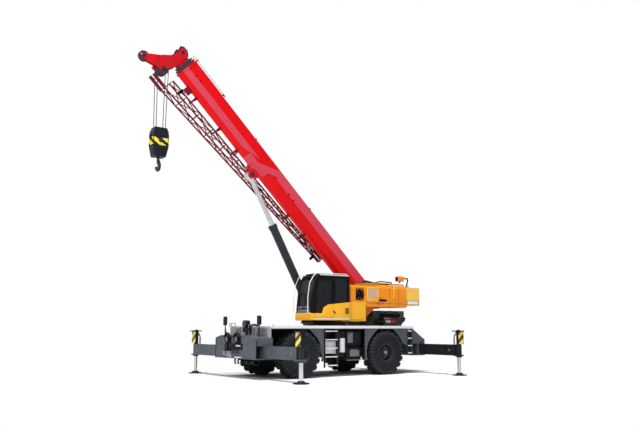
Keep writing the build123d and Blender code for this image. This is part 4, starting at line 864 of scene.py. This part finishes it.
def silencer_shields(bm):
    box_in(bm, (-3.42, SIL_Y + 0.14, SIL_Z + 0.05), (-2.53, SIL_Y + 0.155, SIL_Z + 0.1))
    box_in(bm, (-3.42, SIL_Y + 0.135, SIL_Z - 0.12), (-2.53, SIL_Y + 0.155, SIL_Z - 0.05))
    for x in (-3.36, -2.9, -2.58):
        box_in(bm, (x - 0.02, SIL_Y + 0.14, SIL_Z - 0.12), (x + 0.02, SIL_Y + 0.16, SIL_Z + 0.1))


def silencer_ends(bm):
    for x in (-3.475, -3.14, -2.55):
        ring_in(bm, (x, SIL_Y, SIL_Z), (1, 0, 0), 0.15, 0.009)
    pipe_in(bm, [(-2.52, SIL_Y, SIL_Z), (-2.36, SIL_Y - 0.02, SIL_Z), (-2.3, SIL_Y - 0.15, SIL_Z - 0.02)],
            0.06)
    pipe_in(bm, [(-3.55, SIL_Y, SIL_Z), (-3.68, SIL_Y, SIL_Z + 0.03), (-3.74, SIL_Y, SIL_Z + 0.16)], 0.05)
    for x in (-2.6, -2.8, -3.0, -3.2):
        rod_in(bm, (x, 0.64, 1.785), (x, 0.64, 1.84), 0.02, 8)


def rear_lamps(bm):
    for s in (1, -1):
        box_in(bm, (-3.87, s * 1.1 - 0.16, 1.16), (-3.861, s * 1.1 + 0.16, 1.24))


def box_seams(bm):
    for x in (3.86, -3.86):
        for y in (-0.9, 0.9):
            box_in(bm, (x - 0.008, y - 0.012, 0.7), (x + 0.008, y + 0.012, 1.26))
    for s in (1, -1):
        for x0, x1 in ((3.2, 3.86), (-3.86, -3.2)):
            box_in(bm, (x0, s * 1.456 - 0.006, 0.675), (x1, s * 1.456 + 0.006, 0.7))


def number_plates(bm):
    box_in(bm, (-3.868, -0.22, 0.86), (-3.861, 0.22, 0.98))


piece("deck_ribs", "carrier", "deck", deck_ribs)
piece("locker_trim", "carrier", "black", locker_trim, 0.003, 1)
piece("locker_panels", "carrier", "grey_light", locker_panels, 0.003, 1)
piece("silver_tank", "carrier", "silver", silver_tank, 0.006, 2)
piece("tank_hangers", "carrier", "black", tank_hangers)
piece("hood_trim", "carrier", "black", hood_trim)
piece("silencer_bands", "carrier", "white", silencer_bands)
piece("silencer_red", "carrier", "red", silencer_red)
piece("silencer_shields", "carrier", "dark_steel", silencer_shields, 0.004, 1)
piece("silencer_ends", "carrier", "dark_steel", silencer_ends)
piece("rear_lamps", "carrier", "red_lamp", rear_lamps)
piece("box_seams", "carrier", "grey", box_seams)
piece("number_plates", "carrier", "white", number_plates)
print("carrier boxes")

# %% [markdown]
# Cab: a moulded yellow wing runs along the side and over the door, with a bumper across the front.
# The part on the door moves with it, so the wing is cut at the door's gaps. Each is an outline
# given thickness. Rails are bent tubes; the wiper, handle and vent are small sheet parts.

# %% cab details
CAB_Y = 1.441


def left_plate(bm, outline, depth, thick=0.02):
    plate_in(bm, outline, thick, lambda u, v, w: Vector((u, depth + w, v)))


def cab_wing(bm):
    left_plate(bm, [(-0.14, 2.1), (0.598, 2.1), (0.598, 2.598), (-0.14, 2.672)], CAB_Y)
    left_plate(bm, [(-0.14, 2.005), (1.6, 2.005), (1.6, 2.25), (1.468, 2.25), (1.468, 2.106),
                    (-0.14, 2.106)], CAB_Y)
    box_in(bm, (1.601, 0.47, 2.0), (1.64, 1.461, 2.26))
    left_plate(bm, [(-0.14, 2.0), (1.6, 2.0), (1.6, 2.25), (-0.14, 2.25)], 0.46, 0.018)


def door_wing(bm):
    left_plate(bm, [(0.608, 2.118), (1.452, 2.118), (1.45, 2.25), (1.14, 2.25), (1.07, 2.46), (0.86, 2.57),
                    (0.608, 2.597)], CAB_Y)


def cab_strip(bm):
    box_in(bm, (-0.12, 1.461, 2.035), (1.45, 1.471, 2.085))


def cab_vent(bm):
    for i in range(5):
        box_in(bm, (-0.08, 1.461, 2.25 + i * 0.042), (0.1, 1.468, 2.275 + i * 0.042))
    box_in(bm, (1.3, 0.62, 3.661), (1.2, 1.3, 3.68))


def cab_rails(bm):
    for dx, y in ((0.0, 1.45), (-0.055, 1.38)):
        pipe_in(bm, [(1.4 + dx, y, 3.665), (1.5 + dx, y, 3.6), (1.68 + dx, y, 3.33), (1.76 + dx, y, 2.81),
                     (1.76 + dx, y, 2.27), (1.63, y - 0.02, 2.22)], 0.014)
    for z in (2.5, 2.9, 3.3):
        x = 1.76 - max(0.0, z - 2.81) * 0.16
        rod_in(bm, (x, 1.45, z), (x - 0.055, 1.38, z), 0.009, 8)
    pipe_in(bm, [(1.3, 0.53, 3.665), (1.5, 0.5, 3.58), (1.62, 0.47, 3.3), (1.7, 0.45, 2.9),
                 (1.7, 0.44, 2.34), (1.63, 0.48, 2.24)], 0.013)
    pipe_in(bm, [(-0.02, 1.4, 3.665), (-0.02, 1.4, 3.7), (1.18, 1.4, 3.7), (1.18, 0.53, 3.7),
                 (-0.02, 0.53, 3.7), (-0.02, 0.53, 3.665)], 0.012)
    for x in (0.38, 0.8, 1.18):
        rod_in(bm, (x, 1.4, 3.66), (x, 1.4, 3.7), 0.01, 8)


def cab_wiper(bm):
    rod_in(bm, (1.595, 0.96, 2.445), (1.555, 0.98, 2.95), 0.009, 8)
    box_in(bm, (1.55, 0.74, 2.92), (1.565, 1.24, 2.945))
    box_in(bm, (1.6, 0.9, 2.4), (1.63, 1.02, 2.46))


def cab_frames(bm):
    for y in (0.56, 1.36):
        box_in(bm, (1.592, y - 0.012, 2.44), (1.604, y + 0.012, 2.99),
               Matrix.Rotation(-math.radians(3.5), 3, "Y"))
    box_in(bm, (1.596, 0.5, 2.395), (1.606, 1.42, 2.43))
    for z in (2.62, 3.5):
        box_in(bm, (-0.07, 1.441, z - 0.015), (0.54, 1.449, z + 0.015))
    for x in (-0.06, 0.53):
        box_in(bm, (x - 0.015, 1.441, 2.62), (x + 0.015, 1.449, 3.5))
    box_in(bm, (0.1, 0.7, 3.661), (0.7, 1.2, 3.672))


def door_parts(bm):
    box_in(bm, (1.28, 1.441, 2.72), (1.31, 1.47, 2.9))
    pipe_in(bm, [(0.68, 1.441, 2.7), (0.68, 1.475, 2.7), (0.68, 1.475, 3.05), (0.68, 1.441, 3.05)], 0.011)
    box_in(bm, (0.62, 1.441, 3.42), (1.3, 1.448, 3.45))


def cab_inside(bm):
    for y in (0.66, 1.27):
        rod_in(bm, (1.12, y, 2.62), (1.15, y, 2.9), 0.016, 10)
        bmesh.ops.create_icosphere(bm, subdivisions=2, radius=0.035,
                                   matrix=Matrix.Translation((1.15, y, 2.92)))
    for y in (0.86, 0.98, 1.1):
        box_in(bm, (1.44, y - 0.02, 2.06), (1.5, y + 0.02, 2.2))


# A lighter blue-grey plate over the lower front window: a painted reflection on the glass.
def kick_pane_reflection(bm):
    box_in(bm, (1.601, 0.58, 2.27), (1.606, 1.34, 2.5))


def roof_trim(bm):
    box_in(bm, (-0.1, 1.425, 3.615), (1.22, 1.447, 3.655))
    box_in(bm, (-0.1, 0.473, 3.615), (1.22, 0.49, 3.655))
    box_in(bm, (-0.08, 0.5, 3.661), (1.18, 1.42, 3.675))


piece("kick_pane_reflection", "upper", "lamp", kick_pane_reflection)
piece("roof_trim", "upper", "silver", roof_trim, 0.004, 2)
piece("cab_wing", "upper", "yellow", cab_wing, 0.007, 3)
piece("door_wing", "cab_door", "yellow", door_wing, 0.007, 3)
piece("cab_strip", "upper", "silver", cab_strip, 0.003, 1)
piece("cab_vent", "upper", "cab_black", cab_vent)
piece("cab_rails", "upper", "white", cab_rails)
piece("cab_wiper", "upper", "cab_black", cab_wiper)
piece("cab_frames", "upper", "plastic", cab_frames)
piece("door_parts", "cab_door", "plastic", door_parts, 0.003, 1)
piece("cab_inside", "upper", "dark_steel", cab_inside)
print("cab wing, rails and frames made")

# %% [markdown]
# Machinery covers: sheet panels with dark seams, a pale vent in a yellow frame, hoses looping out of
# the open bay, a grab handle, boxes and rails on the top edge, a work lamp and a blank plate.

# %% hood details
HOOD_Y = 1.301


def hood_seams(bm):
    for s in (1, -1):
        y0, y1 = sorted((s * HOOD_Y, s * (HOOD_Y + 0.002)))
        for x in (-1.05, -1.63, -2.2, -2.66):
            box_in(bm, (x - 0.004, y0, 2.6), (x + 0.004, y1, 3.24))
        box_in(bm, (-3.08, y0, 2.66), (-1.1, y1, 2.668))
    box_in(bm, (-2.06, HOOD_Y, 2.74), (-1.66, HOOD_Y + 0.004, 2.82))
    for y0, y1 in ((0.93, 1.21), (-1.21, -0.93)):
        for i in range(9):
            box_in(bm, (-2.9 + i * 0.09, y0, 3.381), (-2.86 + i * 0.09, y1, 3.386))


def hood_vent(bm):
    box_in(bm, (-1.56, HOOD_Y, 2.89), (-1.12, HOOD_Y + 0.01, 3.21))
    for i in range(7):
        z = 2.91 + i * 0.042
        box_in(bm, (-1.54, HOOD_Y + 0.01, z), (-1.14, HOOD_Y + 0.022, z + 0.02))


def hood_frame(bm):
    for x in (-1.6, -1.08):
        box_in(bm, (x - 0.03, HOOD_Y, 2.74), (x + 0.03, HOOD_Y + 0.03, 3.25))
    for z in (2.85, 3.235):
        box_in(bm, (-1.6, HOOD_Y, z - 0.025), (-1.08, HOOD_Y + 0.03, z + 0.025))
    box_in(bm, (-1.57, HOOD_Y, 2.742), (-1.11, HOOD_Y + 0.014, 2.83))
    pipe_in(bm, [(-2.39, 1.3, 2.88), (-2.39, 1.35, 2.9), (-2.39, 1.35, 3.36), (-2.39, 1.22, 3.4)], 0.024)
    box_in(bm, (-1.58, 0.95, 3.381), (-0.84, 1.2, 3.44))
    box_in(bm, (-2.3, 1.0, 3.381), (-1.66, 1.18, 3.46))
    box_in(bm, (-0.86, 1.0, 3.36), (-0.45, 1.18, 3.4), Matrix.Rotation(math.radians(9.5), 3, "Y"))
    box_in(bm, (-1.4, -1.2, 3.381), (-0.9, -0.95, 3.42))


def hood_rails(bm):
    for y in (1.2, -1.2):
        pipe_in(bm, [(-3.0, y, 3.38), (-3.0, y, 3.42), (-1.7, y, 3.42), (-1.7, y, 3.38)], 0.016)
        rod_in(bm, (-2.35, y, 3.38), (-2.35, y, 3.42), 0.012, 10)
    for y in (1.25, 1.22):
        pipe_in(bm, [(-0.35, y, 3.345), (-0.66, y, 3.42), (-1.62, y, 3.46)], 0.014)
    pipe_in(bm, [(-1.62, 1.15, 3.46), (-1.9, 1.1, 3.52), (-2.5, 1.05, 3.5), (-2.62, 1.0, 3.4)], 0.022)
    pipe_in(bm, [(-1.0, 1.1, 3.44), (-1.2, 1.05, 3.52), (-1.5, 1.1, 3.46)], 0.03)


def hoses(bm):
    for i in range(6):
        x = -0.57 - i * 0.06
        y = 1.25 + 0.03 * (i % 2)
        low = 2.8 + 0.03 * (i % 3)
        pipe_in(bm, [(x, 1.22, 3.18), (x - 0.02, y, 3.1), (x - 0.05, y + 0.03, low + 0.14),
                     (x - 0.02, y, low), (x + 0.06, 1.22, low - 0.01)], 0.018)
    box_in(bm, (-0.9, 1.215, 2.95), (-0.54, 1.27, 3.0))
    for z in (2.84, 3.12):
        rod_in(bm, (-0.9, 1.25, z), (-0.54, 1.25, z), 0.026, 14)
    for x, z in ((-0.62, 2.9), (-0.72, 3.06), (-0.84, 2.93)):
        rod_in(bm, (x, 1.22, z), (x, 1.33, z), 0.035, 12)


def hose_ends(bm):
    for x, z in ((-0.6, 3.14), (-0.7, 3.04), (-0.8, 3.15), (-0.66, 2.84), (-0.78, 2.82)):
        rod_in(bm, (x, 1.2, z), (x, 1.31, z), 0.02, 10)


def work_lamp(bm):
    box_in(bm, (-3.1, 0.96, 3.56), (-2.8, 1.16, 3.76))


def lamp_stalk(bm):
    pipe_in(bm, [(-3.1, 1.06, 3.68), (-3.36, 1.06, 3.69), (-3.38, 1.06, 3.6), (-3.28, 1.06, 3.31)], 0.026)
    box_in(bm, (-2.8, 0.99, 3.59), (-2.785, 1.13, 3.73))
    rod_in(bm, (-2.95, 1.06, 3.5), (-2.95, 1.06, 3.57), 0.03, 12)


def blank_plate(bm):
    box_in(bm, (-3.7, HOOD_Y, 2.655), (-3.13, HOOD_Y + 0.006, 2.78))


def blank_border(bm):
    box_in(bm, (-3.72, HOOD_Y - 0.002, 2.64), (-3.11, HOOD_Y + 0.004, 2.795))


def weight_parts(bm):
    for y in (-0.9, 0.9):
        rod_in(bm, (-3.5, y, 3.31), (-3.5, y, 3.34), 0.07, 24)
        ring_in(bm, (-3.5, y, 3.36), (0, 1, 0), 0.05, 0.014, 24)
    box_in(bm, (-3.836, -0.7, 2.8), (-3.83, 0.7, 2.81))


def table_parts(bm):
    for s in (1, -1):
        for i in range(6):
            x = 0.1 - i * 0.3
            rod_in(bm, (x, s * 0.75, 2.02), (x, s * 0.75, 2.05), 0.018, 6)
    box_in(bm, (-0.9, 1.361, 2.03), (-0.22, 1.366, 2.038))


def engine_openings(bm):
    for x in (-2.62, -2.98, -3.34):
        rod_in(bm, (x, 0.25, 2.235), (x, 0.262, 2.235), 0.075, 24)
        ring_in(bm, (x, 0.262, 2.235), (0, 1, 0), 0.078, 0.01, 28)
    for x in (-2.8, -3.16, -3.5):
        rod_in(bm, (x, 0.38, 2.2), (x, 0.38, 2.3), 0.05, 18)
        rod_in(bm, (x, 0.26, 2.24), (x, 0.38, 2.24), 0.03, 12)


piece("hood_seams", "upper", "cab_black", hood_seams)
piece("hood_vent", "upper", "pink", hood_vent)
piece("hood_frame", "upper", "pale_yellow", hood_frame, 0.004, 2)
piece("hood_rails", "upper", "cab_black", hood_rails)
piece("hoses", "upper", "cab_black", hoses)
piece("hose_ends", "upper", "steel", hose_ends)
piece("work_lamp", "upper", "orange", work_lamp, 0.012, 3)
piece("lamp_stalk", "upper", "cab_black", lamp_stalk)
piece("blank_plate", "upper", "white", blank_plate)
piece("blank_border", "upper", "cab_black", blank_border)
piece("weight_parts", "upper", "dark_steel", weight_parts)
piece("table_parts", "upper", "dark_steel", table_parts)
piece("engine_openings", "carrier", "black", engine_openings)
print("covers, lamp and weight details made")

# %% [markdown]
# Boom: welded sections slide in one another, so each collar has bolted pads and stiff rings; the ram's
# ears have pin caps, the top edge carries two rods, and small holes let a fitter reach the pads.

# %% boom details
BOOM_TURN = Matrix.Rotation(-LUFF, 3, "Y")


def boom_box(bm, a0, a1, p0, p1, y0, y1):
    mid = boom((a0 + a1) / 2, (p0 + p1) / 2, (y0 + y1) / 2)
    half = Vector((a1 - a0, y1 - y0, p1 - p0)) / 2
    return box_in(bm, mid - half, mid + half, BOOM_TURN)


def boom_marks(bm):
    for s in (1, -1):
        for along, perp in ((4.95, 0.02), (5.25, 0.02), (10.72, 0.02), (10.5, 0.02)):
            a, b = sorted((s * 0.277, s * 0.283))
            rod_in(bm, boom(along, perp, a), boom(along, perp, b), 0.035, 18)


def boom_rods(bm):
    rod_in(bm, boom(9.65, 0.405, 0.27), boom(11.1, 0.405, 0.27), 0.03, 12)


def boom_dark_rods(bm):
    rod_in(bm, boom(9.5, 0.445, 0.25), boom(11.14, 0.445, 0.25), 0.02, 12)
    for along in (9.6, 10.3, 11.05):
        boom_box(bm, along - 0.025, along + 0.025, 0.368, 0.46, 0.22, 0.275)


def collar_tips(bm, n):
    along, top = 11.11 + n * 0.085, 0.398 - n * 0.036
    for y in (-0.2, -0.07, 0.07, 0.2):
        boom_box(bm, along - 0.015, along + 0.025, top - 0.01, top + 0.14 + 0.036 * n, y - 0.03, y + 0.03)


def jib_brackets(bm):
    for along in (10.1, 8.75, 7.75, 4.6, 3.6):
        boom_box(bm, along - 0.05, along + 0.05, -0.44, -0.366, -0.16, 0.0)
        boom_box(bm, along - 0.03, along + 0.03, -0.56, -0.42, -0.36, -0.1)
    boom_box(bm, 10.35, 10.62, -0.52, -0.366, -0.16, 0.0)


def pin_caps(bm):
    for s in (1, -1):
        rod_in(bm, boom(6.75, -0.63, s * 0.19), boom(6.75, -0.63, s * 0.22), 0.09, 28)
        for i in range(4):
            t = i * math.pi / 2 + 0.4
            rod_in(bm, boom(6.75 + 0.06 * math.cos(t), -0.63 + 0.06 * math.sin(t), s * 0.218),
                   boom(6.75 + 0.06 * math.cos(t), -0.63 + 0.06 * math.sin(t), s * 0.232), 0.012, 6)


def rope_guides(bm):
    for along in (4.2, 7.6):
        boom_box(bm, along - 0.03, along + 0.03, 0.368, 0.460, -0.2, -0.16)
        boom_box(bm, along - 0.03, along + 0.03, 0.368, 0.460, 0.16, 0.2)
        rod_in(bm, boom(along, 0.430, -0.2), boom(along, 0.430, 0.2), 0.022, 16)


piece("boom_marks", "boom", "cab_black", boom_marks)
piece("boom_rods", "boom", "white", boom_rods)
piece("boom_dark_rods", "boom", "maroon", boom_dark_rods)
for n, body in enumerate(("boom", "section_two", "section_three")):
    piece("collar_tips_" + str(n), body, "pink" if n else "red_dark", lambda bm, n=n: collar_tips(bm, n),
          0.004, 1)
piece("jib_brackets", "boom", "red_dark", jib_brackets, 0.006, 1)
piece("pin_caps", "boom", "dark_steel", pin_caps)
piece("rope_guides", "boom", "dark_steel", rope_guides)
print("boom details made")

# %% [markdown]
# Head and jib: pins through the head's plates, keepers over the sheaves, a black rubbing edge and a
# steel knob on the crown; clamps hold the stowed lattice jib under the boom.

# %% head details


def head_pins(bm):
    for along, perp, r in ((11.6, -0.78, 0.075), (11.63, 0.215, 0.06), (12.32, -1.0, 0.06)):
        for s in (1, -1):
            w = 0.2 if along < 12 else 0.084
            rod_in(bm, boom(along, perp, s * w), boom(along, perp, s * (w + 0.035)), r, 24)
            for i in range(6):
                t = i * math.tau / 6
                p = (along + r * 0.66 * math.cos(t), perp + r * 0.66 * math.sin(t))
                rod_in(bm, boom(p[0], p[1], s * (w + 0.03)), boom(p[0], p[1], s * (w + 0.046)), 0.009, 6)


def head_crown(bm):
    for s in (1, -1):
        pipe_in(bm, [boom(11.4, 0.28, s * 0.185), boom(11.56, 0.385, s * 0.185),
                     boom(11.74, 0.385, s * 0.185),
                     boom(11.82, 0.3, s * 0.185), boom(11.74, 0.06, s * 0.185)], 0.024)
    boom_box(bm, 11.42, 11.5, 0.26, 0.3, -0.17, 0.17)


def head_knob(bm):
    p = boom(11.62, 0.47, 0.12)
    bmesh.ops.create_uvsphere(bm, u_segments=20, v_segments=12, radius=0.045, matrix=Matrix.Translation(p))
    rod_in(bm, boom(11.6, 0.36, 0.185), p, 0.02, 10)


piece("head_pins", "section_tip", "dark_steel", head_pins)
piece("head_crown", "section_tip", "cab_black", head_crown)
piece("head_knob", "section_tip", "silver", head_knob)


def jib_clamps(bm):
    for along in (2.6, 6.0, 10.6):
        boom_box(bm, along - 0.05, along + 0.05, -0.62, -0.38, -0.43, -0.38)
        boom_box(bm, along - 0.05, along + 0.05, -0.52, -0.47, -0.43, -0.3)


piece("jib_clamps", "boom", "cab_black", jib_clamps, 0.005, 1)
print("head and jib details made")

# %% [markdown]
# Hook block: cheek plates held by bolts and a sheave pin with round caps, a collar and nut on the hook.
# Four straight falls of rope hold it and shorten as the block is hoisted.

# %% hook block and ropes
HX, ROPE_FOOT, ROPE_HEAD = 6.9336, 8.46, 10.5588


def rope_falls(bm):
    for x, y, lean in ((-0.205, -0.112, 0.02), (-0.205, 0.112, 0.0), (0.205, -0.112, -0.01),
                       (0.205, 0.112, -0.02)):
        rod_in(bm, (HX + x * 0.8, y, ROPE_FOOT), (HX + x + lean, y, ROPE_HEAD), 0.013, 10)


ropes = piece("rope_falls", "falls", "rope", rope_falls)
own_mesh(ropes)
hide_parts("hoist_ropes")


def block_bolts(bm):
    for sy in (1, -1):
        for dx in (-0.22, 0.22):
            for z in (7.62, 8.3):
                rod_in(bm, (HX + dx, sy * 0.17, z), (HX + dx, sy * 0.186, z), 0.022, 6)
        rod_in(bm, (HX, sy * 0.17, 8.02), (HX, sy * 0.2, 8.02), 0.08, 28)
        ring_in(bm, (HX, sy * 0.2, 8.02), (0, 1, 0), 0.06, 0.01, 26)


def block_edges(bm):
    for sy in (1, -1):
        for dx in (-0.26, 0.26):
            box_in(bm, (HX + dx - 0.012, sy * 0.171 - 0.002, 7.7),
                   (HX + dx + 0.012, sy * 0.171 + 0.002, 8.36))


piece("block_bolts", "lower_block", "dark_steel", block_bolts)
piece("block_edges", "lower_block", "dark_steel", block_edges)
print("hook block details made")
